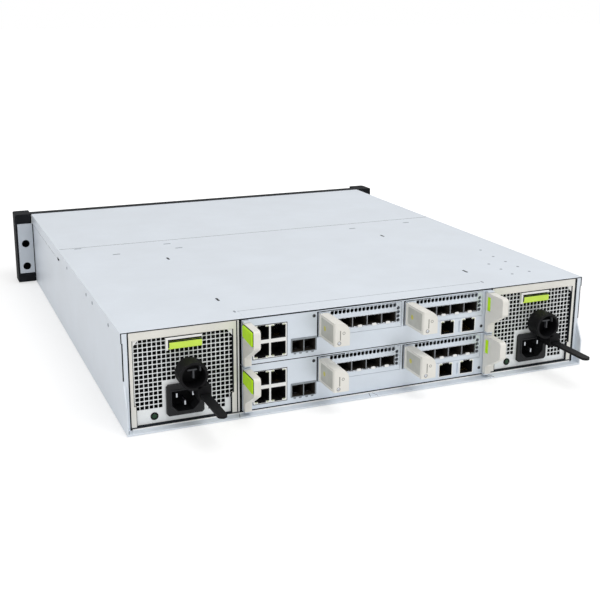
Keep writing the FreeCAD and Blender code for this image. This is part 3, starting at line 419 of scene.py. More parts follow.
def rectangle(u: Span, v: Span) -> list[Point]:
    """Corners of a rectangle."""
    return [(u[0], v[0]), (u[1], v[0]), (u[1], v[1]), (u[0], v[1])]


def circle(u: float, v: float, radius: float, sides: int = 24) -> list[Point]:
    """Points of a circle."""
    return [(u + radius * math.cos(math.tau * i / sides), v + radius * math.sin(math.tau * i / sides))
            for i in range(sides)]


def rounded(u: Span, v: Span, radius: float, steps: int = 4) -> list[Point]:
    """Rectangle with rounded corners."""
    points = []
    corners = ((u[1] - radius, v[0] + radius, -90), (u[1] - radius, v[1] - radius, 0),
               (u[0] + radius, v[1] - radius, 90), (u[0] + radius, v[0] + radius, 180))
    for cu, cv, start in corners:
        for step in range(steps + 1):
            angle = math.radians(start + 90.0 * step / steps)
            points.append((cu + radius * math.cos(angle), cv + radius * math.sin(angle)))
    return points


def softened(corners: Sequence[Point], radius: float, steps: int = 5) -> list[Point]:
    """Polygon with its corners rounded.

    Args:
        corners: its sharp corners.
        radius: how far from a corner the rounding starts.
        steps: points along each rounding.

    Returns:
        The points of the rounded outline.
    """
    points = []
    for index, corner in enumerate(corners):
        here = Vector(corner)
        start, end = (here + (Vector(corners[other]) - here).normalized() * radius
                      for other in (index - 1, (index + 1) % len(corners)))
        for step in range(steps + 1):
            t = step / steps
            spot = start * (1 - t) ** 2 + here * 2 * t * (1 - t) + end * t * t
            points.append((spot.x, spot.y))
    return points


def about(middle: float, width: float) -> Span:
    """The span of a width about its middle."""
    return (middle - width / 2, middle + width / 2)


def grown(span: Span, low: float, high: float) -> Span:
    """A span with each of its limits shifted."""
    return (span[0] + low, span[1] + high)


def ordered(first: float, second: float) -> Span:
    """Two limits, the lower one first."""
    return (min(first, second), max(first, second))


class Shape:
    """A mesh drawn in millimetres out of prisms, plates and turned forms."""

    def __init__(self, bevel: float = 0.15, segments: int = 2) -> None:
        """Start an empty shape.

        Args:
            bevel: width of the rounding of its edges; 0 for none.
            segments: faces across that rounding.
        """
        self.mesh = bmesh.new()
        self.bevel = bevel
        self.segments = segments

    @staticmethod
    def _place(plane: Plane, u: float, v: float, w: float) -> Vector:
        """Point of the plane's two axes and the axis it is extruded along."""
        point = [u, v]
        point.insert(plane.value, w)
        return Vector(point)

    def prism(self, plane: Plane, outline: Sequence[Point], span: Span) -> Shape:
        """Extrude an outline along the plane's normal."""
        return self.plate(plane, outline, (), span)

    def pill(self, plane: Plane, u: Span, v: Span, radius: float, span: Span, steps: int = 4) -> Shape:
        """Extrude a rectangle with rounded corners."""
        return self.plate(plane, rounded(u, v, radius, steps), (), span)

    def block(self, x: Span, y: Span, z: Span) -> Shape:
        """Add a cuboid."""
        return self.plate(Plane.XY, rectangle(x, y), (), z)

    def pair(self, x: Span, y: Span, z: Span) -> Shape:
        """Add a cuboid and its mirror image across the case."""
        for turn in (-1, 1):
            self.block(ordered(x[0] * turn, x[1] * turn), y, z)
        return self

    def plate(self, plane: Plane, outline: Sequence[Point], holes: Iterable[Sequence[Point]],
              span: Span) -> Shape:
        """Extrude an outline that has holes.

        Args:
            plane: plane of the outline.
            outline: its outer edge.
            holes: outlines of its holes.
            span: limits along the plane's normal.
        """
        part = bmesh.new()
        edges = []
        for loop in (outline, *holes):
            corners = [part.verts.new(self._place(plane, u, v, span[0])) for u, v in loop]
            edges += [part.edges.new((corners[i - 1], corners[i])) for i in range(len(corners))]
        if holes:
            faces = bmesh.ops.triangle_fill(part, edges=edges, use_beauty=True)["geom"]
            faces = [item for item in faces if isinstance(item, bmesh.types.BMFace)]
        else:
            faces = [part.faces.new(list(part.verts))]
        pulled = bmesh.ops.extrude_face_region(part, geom=faces)["geom"]
        step = self._place(plane, 0, 0, span[1] - span[0])
        bmesh.ops.translate(part, vec=step, verts=[v for v in pulled if isinstance(v, bmesh.types.BMVert)])
        return self._take(part)

    def turned(self, plane: Plane, centre: Point, base: float, profile: Sequence[Point], sides: int = 32,
               turn: int = 1) -> Shape:
        """Turn a profile about the plane's normal and close its ends.

        Args:
            plane: plane of its rings.
            centre: where the axis crosses that plane.
            base: the level that heights are measured from.
            profile: (radius, height) points.
            sides: faces around the axis.
            turn: -1 to measure the heights the other way.
        """
        part = bmesh.new()
        rings = []
        for radius, height in profile:
            places = circle(*centre, radius, sides) if radius else [centre]
            level = base + turn * height
            rings.append([part.verts.new(self._place(plane, u, v, level)) for u, v in places])
        for low, high in zip(rings, rings[1:]):
            for i in range(sides):
                corners = (low[(i - 1) % len(low)], low[i % len(low)],
                           high[i % len(high)], high[(i - 1) % len(high)])
                part.faces.new(list(dict.fromkeys(corners)))
        for ring in (rings[0], rings[-1]):
            if len(ring) > 1:
                part.faces.new(ring)
        return self._take(part)

    def _take(self, part: bmesh.types.BMesh) -> Shape:
        """Add another mesh to this one, its faces turned outwards."""
        bmesh.ops.recalc_face_normals(part, faces=part.faces)
        held = bpy.data.meshes.new("held")
        part.to_mesh(held)
        part.free()
        self.mesh.from_mesh(held)
        bpy.data.meshes.remove(held)
        return self

    def object(self, name: str) -> bpy.types.Object:
        """Turn the shape into an object in metres, with its edges rounded."""
        bmesh.ops.scale(self.mesh, vec=(MM,) * 3, verts=self.mesh.verts)
        for face in self.mesh.faces:
            face.smooth = True
        data = bpy.data.meshes.new(name)
        self.mesh.to_mesh(data)
        self.mesh.free()
        made = bpy.data.objects.new(name, data)
        bpy.context.scene.collection.objects.link(made)
        soften(made, self.bevel, self.segments)
        return made


def soften(item: bpy.types.Object, bevel: float, segments: int = 2, weld: bool = False) -> None:
    """Round an object's sharp edges by a width in millimetres and even out its shading."""
    if weld:
        item.modifiers.new("weld", "WELD").merge_threshold = WELD_REACH * MM
    if bevel:
        edge = item.modifiers.new("bevel", "BEVEL")
        edge.width = bevel * MM
        edge.segments = segments
        edge.limit_method = "ANGLE"
        edge.angle_limit = math.radians(SHARP_ANGLE)
        edge.use_clamp_overlap = True
    normals = item.modifiers.new("normals", "WEIGHTED_NORMAL")
    normals.mode = "FACE_AREA"
    normals.weight = NORMAL_WEIGHT
    normals.keep_sharp = True


class Rig:
    """The CAD frame: its nodes, their boxes in millimetres and the bodies they ride on."""

    def __init__(self, frame: dict[str, Any]) -> None:
        """Read the frame's nodes and bodies."""
        self.nodes = frame["nodes"]
        bodies = frame["record"]["behaviour"]["bodies"]
        self.body = {node: body for body, members in bodies.items() for node in members}

    def box(self, node: str) -> tuple[Span, Span, Span]:
        """A node's limits along X, Y and Z, in millimetres."""
        low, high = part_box(node)
        return tuple((a / MM, b / MM) for a, b in zip(low, high))

    def dress(self, node: str, finish: Finish, bevel: float = 0.0) -> None:
        """Give a CAD node its finish, and round its edges where a bevel is given."""
        item = self.nodes[node]
        item.data.materials.clear()
        item.data.materials.append(finish.material())
        if bevel:
            soften(item, bevel, weld=True)
        LOG.info("dressed %s in %s", node, finish.name)

    def add(self, name: str, shape: Shape, finish: Finish, beside: str, slot: Slot,
            replaces: bool = False) -> None:
        """Place a new piece.

        Args:
            name: name of the piece.
            shape: its form.
            finish: its finish.
            beside: the CAD node whose body it rides on.
            slot: not used.
            replaces: the piece stands for that node.
        """
        item = shape.object(name)
        item.data.materials.append(finish.material())
        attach(item, self.body[beside])
        if replaces:
            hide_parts(beside)
        LOG.info("built %s in %s", name, finish.name)


@dataclass
class Assembly:
    """What the sub-assemblies share.

    Attributes:
        rig: the CAD frame.
        home: node whose body the pieces ride on unless they name another.
        ending: last part of the pieces' names.
        rear: the plane of the rear panel.
        middle: X of the sub-assembly's middle.
    """

    rig: Rig
    home: str = field(init=False, default="rear_cover")
    ending: str = field(init=False, default="")
    rear: float = field(init=False)
    middle: float = field(init=False, default=0.0)

    def __post_init__(self) -> None:
        """Find the rear panel."""
        self.rear = self.rig.box("psu_bezel_left")[1][1]

    def put(self, name: str, shape: Shape, finish: Finish, slot: Slot, beside: str = "",
            replaces: bool = False) -> None:
        """Place one piece of the sub-assembly."""
        self.rig.add(name + self.ending, shape, finish, beside or self.home, slot, replaces)

    def behind(self, low: float, high: float) -> Span:
        """Y span of two places measured from the rear panel."""
        return (self.rear + low, self.rear + high)

    def at(self, place: float) -> float:
        """X of a place measured from the middle."""
        return self.middle + place

    def wide(self, low: float, high: float) -> Span:
        """X span of two places measured from the middle."""
        return (self.middle + low, self.middle + high)


# ---------------------------------------------------------------- chassis


@dataclass
class Chassis(Assembly):
    """Coated steel case with its covers, rack ears, front trim and inner frame.

    Places are (x, y) from the middle of the case; heights are above its underside.
    """

    hook_slots: tuple[Point, ...] = ((123, 186), (-130, 186), (125, 31), (-125, 22))
    lances: tuple[Point, ...] = ((170, -6), (102, -9), (-110, -24), (-183, -29), (109, -31), (203, -44))
    spot_columns: tuple[tuple[float, tuple[float, ...]], ...] = (
        (-167, (211, 192, 171)), (-188, (209, 190, 169, 147)), (-191, (119,)))
    rivet_rows: tuple[float, ...] = (6, 106, 134, 201)
    rivet_height: float = 79.6
    step_x: float = -2.0
    step_width: float = 240.0
    step_length: float = 18.3
    step_proud: float = 0.22
    lip_joints: tuple[float, ...] = (219, 124, 1.6, -1.6, -119, -122.5)
    lip_lean: float = 2.2
    lip_top: float = 1.53
    # The next three fields place painted shade lines at the side wall's outer corner and beside the
    # divider.
    wall_shade_x: Span = (221.5, 222.35)
    corner_shade_z: Span = (45, 77)
    divider_shade: Span = (122.55, 123.55)
    divider_edge: Span = (123.6, 124.75)
    mouth_half: float = 216.0
    rail_height: Span = (1.45, 2.45)
    ear_height: Span = (12.5, 74.6)
    ear_width: Span = (223.5, 241.2)
    ear_hole_x: float = 232.55
    ear_hole_radius: float = 4.75
    ear_holes: Span = (21.0, 49.6)
    slot_rungs: tuple[float, ...] = (24, 35.3, 46.6)

    def build(self) -> None:
        """Dress the nodes and add the details of covers, sides and lip."""
        for node, finish, bevel in (
                ("chassis_tub", COATED, 0.35), ("front_cover", COATED, 0.4), ("rear_cover", COATED, 0.4),
                ("front_trim", TRIM, 0.5), ("inner_frame", ZINC, 0.15), ("midplane_board", BOARD, 0.0)):
            self.rig.dress(node, finish, bevel)
        self.build_step()
        self.build_marks()
        self.build_rivets()
        self.build_lip_slits()
        self.build_partitions()
        self.build_ears()
        self.build_shade_lines()

    def build_step(self) -> None:
        """Stepped rear edge of the cover above the controllers, with its slit line and two slit ends drawn
        as painted shade.
        """
        _, (_, rear), (_, top) = self.rig.box("rear_cover")
        start, end, sunk = rear - 0.4 - self.step_length, rear - 0.4, (top - 0.3, top + 0.03)
        step = Shape(0.18).pill(Plane.XY, about(self.step_x, self.step_width), (start, end), 1.2,
                                (top - 0.4, top + self.step_proud))
        self.put("cover_step", step, COATED, Slot.CHASSIS)
        slits = Shape(0.02).block(about(self.step_x, self.step_width), about(start - 0.5, 1.3), sunk)
        for x in about(self.step_x, self.step_width + 5):
            slits.pill(Plane.XY, about(x, 1.8), about(start - 1, 5), 0.85, sunk)
        self.put("cover_step_slits", slits, MARKS_AND_SHADE, Slot.CHASSIS)

    def build_marks(self) -> None:
        """Hook slots and lanced tongues with painted shade, and spot welds of the two covers."""
        top = self.rig.box("rear_cover")[2][1]
        rims, slot_shading, tongues, spots = Shape(0.1), Shape(0.02), Shape(0.15), Shape(0.08)
        for x, y in self.hook_slots:
            rims.plate(Plane.XY, rounded(about(x, 3.4), about(y, 10.4), 1.6),
                       [rounded(about(x, 2.2), about(y, 9.2), 1.05)], (top - 0.3, top + 0.16))
            # Painted shade: near-black floors in the hook slots.
            slot_shading.pill(Plane.XY, about(x, 2.3), about(y, 9.3), 1.1, (top - 0.3, top + 0.02))
        for x, y in self.lances:
            # The lances are drawn in a darker copy of the sheet as painted shade.
            tongues.pill(Plane.XY, about(x, 8.0), about(y, 2.2), 1.0, (top - 0.3, top + 0.12))
        dimple = ((1.5, -0.2), (1.5, 0.04), (1.1, 0.14), (0.8, 0.06), (0, 0.05))
        for x, rows in self.spot_columns:
            for y in rows:
                spots.turned(Plane.XY, (x, y), top, dimple, 20)
        self.put("hook_slot_rims", rims, COATED, Slot.CHASSIS)
        self.put("hook_slot_shade", slot_shading, DARK_SHADE, Slot.CHASSIS)
        self.put("cover_lances", tongues, MARKS_AND_SHADE, Slot.CHASSIS)
        self.put("cover_spot_welds", spots, MARKS_AND_SHADE, Slot.CHASSIS)

    def build_rivets(self) -> None:
        """Domed rivets along both side flanges of the rear cover."""
        side = self.rig.box("rear_cover")[0][1]
        heads = Shape(0.0)
        dome = ((1.7, -0.3), (1.7, 0.05), (1.3, 0.28), (0.6, 0.38), (0, 0.4))
        for turn in (-1, 1):
            for y in self.rivet_rows:
                heads.turned(Plane.YZ, (y, self.rivet_height), turn * side, dome, 24, turn)
        self.put("flange_rivets", heads, MARKS_AND_SHADE, Slot.CHASSIS)

    def build_lip_slits(self) -> None:
        """Slanted joints where the folded rear lip is slit."""
        end = self.rig.box("chassis_tub")[1][1]
        slits = Shape(0.0)
        for x in self.lip_joints:
            lean = math.copysign(self.lip_lean, x)
            slits.prism(Plane.XY, [(x - 0.22, self.rear + 0.2), (x + 0.22, self.rear + 0.2),
                                   (x + 0.22 + lean, end - 0.1), (x - 0.22 + lean, end - 0.1)],
                        (1.3, self.lip_top))
        self.put("lip_slits", slits, SEAM_AND_SHADE, Slot.CHASSIS, "chassis_tub")

    def build_partitions(self) -> None:
        """Bright edges of the two dividers and of the floor's rail."""
        low, high = self.rig.box("psu_bezel_left")[2]
        edges = Shape(0.1).block((-self.mouth_half, self.mouth_half), self.behind(-7.9, -0.05),
                                 self.rail_height)
        edges.pair(self.divider_edge, self.behind(-6, 0.02), (low, high))
        self.put("partition_edges", edges, WHITE, Slot.ZINC, "chassis_tub")

    def build_ears(self) -> None:
        """Rear faces of the two ears in a darker sheet, painted shade where they meet the side walls, and
        the strips that close the trim's slots.
        """
        face = self.rig.box("front_trim")[1][1] + 0.2
        ears, ear_edge_shading, strips = Shape(0.05), Shape(0.0), Shape(0.3)
        for turn in (-1, 1):
            holes = [circle(turn * self.ear_hole_x, z, self.ear_hole_radius, 40) for z in self.ear_holes]
            ears.plate(Plane.XZ, rectangle(ordered(*(turn * x for x in self.ear_width)), self.ear_height),
                       holes, (face - 0.2, face + 0.05))
        # Painted shade: dark strips where the ears meet the side walls.
        ear_edge_shading.pair((222.4, self.ear_width[0]), (face - 0.3, face + 0.1), self.ear_height)
        strips.pair((226.7, 238.4), (-262, -260.5), (15.2, 55.4))
        for z in self.slot_rungs:
            strips.pair((228.4, 236.7), (-262.4, -261.8), about(z, 1.2))
        self.put("ear_faces", ears, EAR, Slot.CHASSIS, "chassis_tub")
        self.put("ear_corner_shade", ear_edge_shading, SEAM_AND_SHADE, Slot.BLACK, "chassis_tub")
        self.put("slot_strips", strips, TRIM, Slot.BLACK, "front_trim")

    def build_shade_lines(self) -> None:
        """Painted shade: dark strips in the gaps where covers, modules and partitions meet, and at the side
        wall's outer corner.
        """
        (_, half), _, (low, high) = self.rig.box("psu_bezel_left")
        (_, side), (_, join), (front_edge, _) = self.rig.box("front_cover")
        _, (start, _), (rear_edge, top) = self.rig.box("rear_cover")
        side -= 0.85
        rear_shading, flush = Shape(0.0), self.behind(-1, 0.06)
        for x, y, z in (
                (222, (join - 0.1, start + 0.1), (top - 0.9, top + 0.02)),
                (216.6, self.behind(-5, -0.4), (high + 0.02, high + 0.28)),
                (222.8, self.behind(-2.5, 0.08), (high + 0.3, high + 0.95)),
                (self.mouth_half, self.behind(-8, -0.2), (2.5, low - 0.05))):
            rear_shading.block((-x, x), y, z)
        for x, y, z in (
                ((half + 0.02, half + 0.36), self.behind(-6, -0.3), (low, high)),
                (self.divider_shade, self.behind(-6, -0.4), (low, high)),
                ((half + 0.1, half + 1.2), flush, (1.5, high)),
                (self.wall_shade_x, flush, self.corner_shade_z),
                ((222.3, 223.1), flush, (self.corner_shade_z[1], high + 0.9)),
                ((222.4, 227), (-246, -243.3), (1, 12)),
                ((side, side + 0.25), (-240, join - 4), about(front_edge - 0.5, 1.0)),
                ((side, side + 1.0), (join - 3, start + 0.4), (front_edge - 0.6, rear_edge + 0.6)),
                ((side, side + 0.2), (start, self.rear - 3), about(rear_edge - 0.15, 0.25))):
            rear_shading.pair(x, y, z)
        self.put("rear_painted_shade", rear_shading, SEAM_AND_SHADE, Slot.BLACK)


# ---------------------------------------------------------------- disk bay


@dataclass
class DiskBay(Assembly):
    """Twelve disk carriers with swing-out grips in front."""

    columns: int = 4
    rows: int = 3
    rib_pitch: float = 2.2
    ribs: int = 9
    rib_margin: float = 3.0
    window_margin: float = 4.5
    lamp_radius: float = 1.1
    lamp_pitch: float = 4.2

    def build(self) -> None:
        """Dress the carriers and grips and add ribs and lamps."""
        for column in range(1, self.columns + 1):
            for row in range(1, self.rows + 1):
                self.build_carrier(f"c{column}_r{row}")

    def build_carrier(self, tag: str) -> None:
        """Dress one carrier and its grip and add their details."""
        self.ending = "_" + tag
        carrier, grip = "disk_carrier_" + tag, "carrier_grip_" + tag
        self.rig.dress(carrier, CARRIER, 0.25)
        self.rig.dress(grip, GRIP, 0.5)
        x, (face, _), z = self.rig.box(grip)
        ribs = Shape(0.15)
        for index in range(self.ribs):
            ribs.pill(Plane.XZ, about(x[0] + 9 + self.rib_pitch * index, 0.9),
                      grown(z, self.rib_margin, -self.rib_margin), 0.4, (face + 0.3, face + 0.02))
        ribs.pill(Plane.XZ, grown(x, 33, -8), grown(z, self.window_margin, -self.window_margin), 1.5,
                  (face + 0.3, face + 0.015))
        self.put("grip_ribs", ribs, BLACK, Slot.GRIP, grip)
        (_, right), (front, _), (_, top) = self.rig.box(carrier)
        lamps = Shape(0.0)
        lens = [(self.lamp_radius * share, height) for share, height in (
            (1, 0.6), (1, 0.1), (0.7, 0.03), (0, 0.02))]
        for step in range(2):
            lamps.turned(Plane.XZ, (right - 3.6, top - 5 - self.lamp_pitch * step), front, lens, 20)
        self.put("carrier_lamps", lamps, LED, Slot.CARRIER, carrier)


# ---------------------------------------------------------------- power supplies


@dataclass
class PowerSupply(Assembly):
    """Plug-in power supply: meshed face, latch, mains inlet and cord retainer.

    Places across the face are measured from its middle, heights from the underside of the case.
    """

    side: str
    hole: float = 3.2
    pitch: Point = (3.86, 3.85)
    first: Point = (39.9, 76.2)
    columns: int = 22
    rows: int = 18
    sheet: float = 1.0
    sink: float = 2.5
    inlet_zone: Span = (-18.9, 18.9)
    inlet_top: float = 38.6
    latch_zone: Span = (-17.5, 15.6)
    latch_low: float = 65.9
    left_low: float = 17.4
    right_low: float = 9.6
    low_rows: Span = (-36.0, 39.0)
    window_right: Span = (-40.15, -41.85)
    window_left: Span = (41.15, 42.85)
    window_steps: Span = (22.0, 78.0)
    # Width of the painted shade lines along the bezel's window.
    shade_line_width: float = 0.45
    frame_zone: Span = (-15.4, 15.3)
    frame_foot: float = 66.4
    frame_head: Span = (75.2, 77.1)
    lamp: Point = (26.15, 10.2)
    tabs: tuple[Point, ...] = ((40.6, 75.6), (-39.6, 75.6))
    socket: tuple[float, float, float] = (23.6, 17.8, 12.6)
    socket_key: float = 5.2
    socket_rim: float = 1.3
    socket_depth: float = 15.0
    blades: tuple[Point, ...] = ((7.0, 13.2), (-7.0, 13.2), (0, 5.8))
    sheet_half: float = 44.4
    inlet_cut: tuple[float, float, float] = (13.6, 10.8, 32.2)
    back_window: tuple[float, float, float] = (56.0, 26.0, 44.0)
    fan_depth: float = 26.0
    fan_frame: float = 76.0
    fan_bore: float = 34.5
    fan_centre: Point = (6.0, 44.0)
    fan_blades: int = 7
    # Place of the near-black box of painted shade inside the case.
    shade_box_x: Span = (43.9, 44.6)
    shade_box_height: Span = (5.0, 83.4)
    clamp_radii: Span = (9.9, 12.0)
    clamp_centre: Point = (-2.0, 48.5)
    clamp_length: Span = (4.6, 19.6)
    clamp_ridges: int = 11
    clamp_ridge_turn: float = 10.4
    strap_x: float = -10.85
    saddle_width: float = 11.2
    saddle_low: float = 27.9
    saddle_window: tuple[float, float, float] = (8.6, 29.9, 32.5)
    face: float = field(init=False)

    def __post_init__(self) -> None:
        """Find the supply's place in the frame."""
        super().__post_init__()
        self.ending = "_" + self.side
        self.home = "psu_case" + self.ending
        self.middle = sum(self.rig.box("psu_bezel" + self.ending)[0]) / 2
        self.face = self.rear - self.sink

    def build(self) -> None:
        """Dress the nodes and build the case, mesh, lamp, blades and clamp."""
        for node, finish, bevel in (("psu_bezel", CREAM, 0.35), ("psu_inlet", FLANGE, 0.3),
                                    ("psu_latch", LIME, 0.5), ("cord_strap", BLACK, 0.35)):
            self.rig.dress(node + self.ending, finish, bevel)
        self.build_case()
        self.build_face()
        self.build_painted_bezel_lines()
        self.build_latch_frame()
        self.build_inside()
        self.build_inlet()
        self.build_lamp()
        self.build_clamp()

    def build_case(self) -> None:
        """Folded case behind the face."""
        x, (front, _), z = self.rig.box(self.home)
        wall, y = self.sheet, (front, self.rear - self.sink - self.sheet)
        case = Shape(0.2)
        for low in (z[0], z[1] - wall):
            case.block(x, y, (low, low + wall))
        for low in (x[0], x[1] - wall):
            case.block((low, low + wall), y, (z[0] + wall, z[1] - wall))
        window = rounded(about(self.middle, self.back_window[0]), self.back_window[1:], 1.5)
        case.plate(Plane.XZ, rectangle(x, z), [window], (front, front + wall))
        self.put("psu_shell", case, ZINC, Slot.ZINC, replaces=True)

    def open_at(self, u: float, z: float) -> bool:
        """Whether the mesh has a hole at a place of the face."""
        if self.latch_zone[0] < u < self.latch_zone[1] and z > self.latch_low:
            return False
        if self.inlet_zone[0] < u < self.inlet_zone[1] and z < self.inlet_top:
            return False
        if z > self.left_low + 0.4:
            return True
        right, left = self.low_rows
        return (right < u < 0 and z > self.right_low) or (0 < u < left and z > self.left_low)

    def build_face(self) -> None:
        """Face plate punched with rows of square air holes, and its white corner tabs."""
        z = self.rig.box(self.home)[2]
        holes = []
        for row in range(self.rows):
            level = self.first[1] - self.pitch[1] * row
            for column in range(self.columns):
                place = self.first[0] - self.pitch[0] * column
                if self.open_at(place, level):
                    holes.append(rounded(*(about(spot, self.hole) for spot in (self.at(place), level)),
                                         0.25, 1))
        cut, edge = self.inlet_cut[0], self.sheet_half
        holes.append(rectangle(self.wide(-cut, cut), self.inlet_cut[1:]))
        plate = Shape(0.1, 1).plate(Plane.XZ, rectangle(self.wide(-edge, edge), grown(z, 0.4, -0.4)), holes,
                                    (self.face - self.sheet, self.face))
        self.put("psu_air_mesh", plate, NETTING, Slot.ZINC)
        tabs = Shape(0.3)
        for u, level in self.tabs:
            turn = math.copysign(1, u)
            tab = [(self.at(u) + across * turn, level + rise)
                   for across, rise in ((2.3, 2.4), (-2.6, 2.4), (2.3, -3.4))]
            tabs.prism(Plane.XZ, softened(tab, 0.7, 3), (self.face - 0.2, self.rear - 0.9))
        self.put("psu_corner_tabs", tabs, WHITE, Slot.CREAM)

    def build_painted_bezel_lines(self) -> None:
        """Painted shade: dark lines along the bezel's stepped window and its inner edge."""
        x, y, z = self.rig.box("psu_bezel" + self.ending)
        step, top = self.window_steps
        front, deep = (y[1] - 0.3, y[1] + 0.04), (y[0], y[1] - 0.1)
        bezel_shading = Shape(0.0)
        for narrow, broad, turn in ((*self.window_right, -1), (*self.window_left, 1)):
            low, high = self.at(narrow), self.at(broad)
            width = self.shade_line_width * turn
            bezel_shading.block(ordered(high, high + width), front, (step, top))
            bezel_shading.block(ordered(low, low + width), front, (z[0], step))
            bezel_shading.block(ordered(low, high + width), front, (step - 0.2, step + 0.25))
            if turn < 0:
                bezel_shading.block((high - 0.02, high + 0.1), deep, (step, top))
                bezel_shading.block((low - 0.02, low + 0.1), deep, (z[0], step))
        bezel_shading.block((x[0] + 0.15, x[0] + 1.1), (y[1] - 0.6, y[1] + 0.05), grown(z, 0.2, -0.2))
        self.put("psu_bezel_shade", bezel_shading, SEAM_AND_SHADE, Slot.BLACK)

    def build_latch_frame(self) -> None:
        """Raised frame around the coloured latch, with painted shade on the latch's edges, behind the frame
        and in the slot above it.
        """
        face, deep = self.face, (self.face - 0.6, self.rear + 0.28)
        zone, (foot, head), left = self.wide(*self.frame_zone), self.frame_head, self.frame_zone[1]
        frame = Shape(0.3).block(zone, deep, (foot, head))
        frame.block(self.wide(left - 1.8, left), deep, (self.frame_foot, foot + 0.2))
        self.put("psu_latch_frame", frame, WHITE, Slot.ZINC)
        latch = "psu_latch" + self.ending
        x, y, z = self.rig.box(latch)
        # Painted shade: dark strips on the latch's top and side edges.
        skin = (y[1] - 1.4, y[1] + 0.08)
        edge = Shape(0.1).block(grown(x, -0.03, 0.05), skin, (z[1] - 0.55, z[1] + 0.06))
        edge.block((x[1] - 0.85, x[1] + 0.05), skin, (z[0] + 1.2, z[1] - 0.5))
        self.put("psu_latch_shade_edge", edge, SEAM_AND_SHADE, Slot.BLACK, latch)
        # Painted shade: dark plates behind the frame and in the slot above it.
        floor = Shape(0.05).block(grown(zone, -0.3, -1.0), (face - 0.8, face + 0.05),
                                  (self.frame_foot + 0.4, foot + 0.1))
        floor.block(zone, (face - 0.6, self.rear - 0.3), (head + 0.1, head + 0.8))
        self.put("psu_latch_recess_shade", floor, DARK_SHADE, Slot.ZINC)

    def build_inside(self) -> None:
        """Near-black box behind the mesh as painted shade, and the ring, hub and blades of the fan."""
        back = self.rear - self.fan_depth
        (inner, outer), height = self.shade_box_x, self.shade_box_height
        deep = (back, self.rear - self.sink - self.sheet - 0.1)
        wall = Shape(0.2).block(self.wide(-outer, outer), (back - 2, back), height)
        for side in (-1, 1):
            wall.block(self.wide(*ordered(outer * side, inner * side)), deep, height)
        for level in (height[0], height[1] - 0.7):
            wall.block(self.wide(-inner, inner), deep, (level, level + 0.7))
        self.put("psu_inner_shade", wall, DARK_SHADE, Slot.BLACK)
        centre = (self.at(self.fan_centre[0]), self.fan_centre[1])
        fan = Shape(0.3).plate(Plane.XZ, rounded(*(about(place, self.fan_frame) for place in centre), 5),
                               [circle(*centre, self.fan_bore, 48)], (back + 1, back + 9))
        fan.turned(Plane.XZ, centre, back, ((15, 1), (15, 7), (12, 9), (0, 9.5)), 40)
        for index in range(self.fan_blades):
            angle = math.tau * index / self.fan_blades
            swept = [(centre[0] + r * math.cos(angle + t), centre[1] + r * math.sin(angle + t))
                     for r, t in ((13, 0), (33, 0.25), (33.4, 0.62), (13, 0.5))]
            fan.prism(Plane.XZ, swept, (back + 3, back + 5))
        self.put("psu_fan", fan, BLACK, Slot.BLACK)

    def keyed(self, grow: float) -> list[Point]:
        """Outline of the mains socket with its two cut corners, drawn out by a margin."""
        wide, high, low = self.socket
        half, cut, key = wide / 2, wide / 2 - self.socket_key, low + self.socket_key
        return [(self.at(u), v) for u, v in (
            (-cut - grow / 2, low - grow), (cut + grow / 2, low - grow), (half + grow, key - grow / 2),
            (half + grow, low + high + grow), (-half - grow, low + high + grow),
            (-half - grow, key - grow / 2))]

    def build_inlet(self) -> None:
        """Bright contact blades and raised rim of the mains inlet, and painted shade at the socket's
        bottom.
        """
        inlet, low = "psu_inlet" + self.ending, self.socket[2]
        front = self.rig.box(inlet)[1][1]
        blades = Shape(0.35)
        for u, rise in self.blades:
            blades.pill(Plane.XZ, about(self.at(u), 1.6), about(low + rise, 3.9), 0.4,
                        (front - self.socket_depth - 0.2, front - 1.95), 2)
        self.put("mains_blades", blades, STEEL, Slot.ZINC, inlet)
        recess = self.keyed(0)
        ring = Shape(0.25).plate(Plane.XZ, self.keyed(self.socket_rim), [recess],
                                 (front - 1.2, front + 0.55))
        self.put("mains_rim", ring, FLANGE, Slot.BLACK, inlet)
        # Painted shade: a near-black plate at the bottom of the socket.
        inner = [(self.at((u - self.middle) * 0.985), v) for u, v in recess]
        floor = Shape(0.1).prism(Plane.XZ, inner, about(front - self.socket_depth, 0.2))
        self.put("mains_socket_shade", floor, DARK_SHADE, Slot.BLACK, inlet)

    def build_lamp(self) -> None:
        """Status lamp in its black ring."""
        for name, finish, slot, sides, profile in (
                ("psu_lamp_ring", BLACK, Slot.BLACK, 36,
                 ((3.3, -0.3), (3.3, 0.5), (3.0, 0.8), (2.3, 0.8), (2.1, 0.5))),
                ("psu_lamp", GREEN_LAMP, Slot.LIME, 32,
                 ((2.2, 0), (2.2, 0.6), (1.8, 0.95), (1.0, 1.15), (0, 1.2)))):
            form = Shape(0.0).turned(Plane.XZ, (self.at(self.lamp[0]), self.lamp[1]), self.face, profile,
                                     sides)
            self.put(name, form, finish, slot)

    def build_clamp(self) -> None:
        """Ridged ring that holds the cord, on its saddle over the strap; a black disc closes its back as
        painted shade, and its catch is lighter as a painted highlight.
        """
        inner, outer = self.clamp_radii
        x, z = self.at(self.clamp_centre[0]), self.clamp_centre[1]
        y = self.behind(*self.clamp_length)
        clamp = Shape(0.35).plate(Plane.XZ, circle(x, z, outer, 56), [circle(x, z, inner, 56)], y)
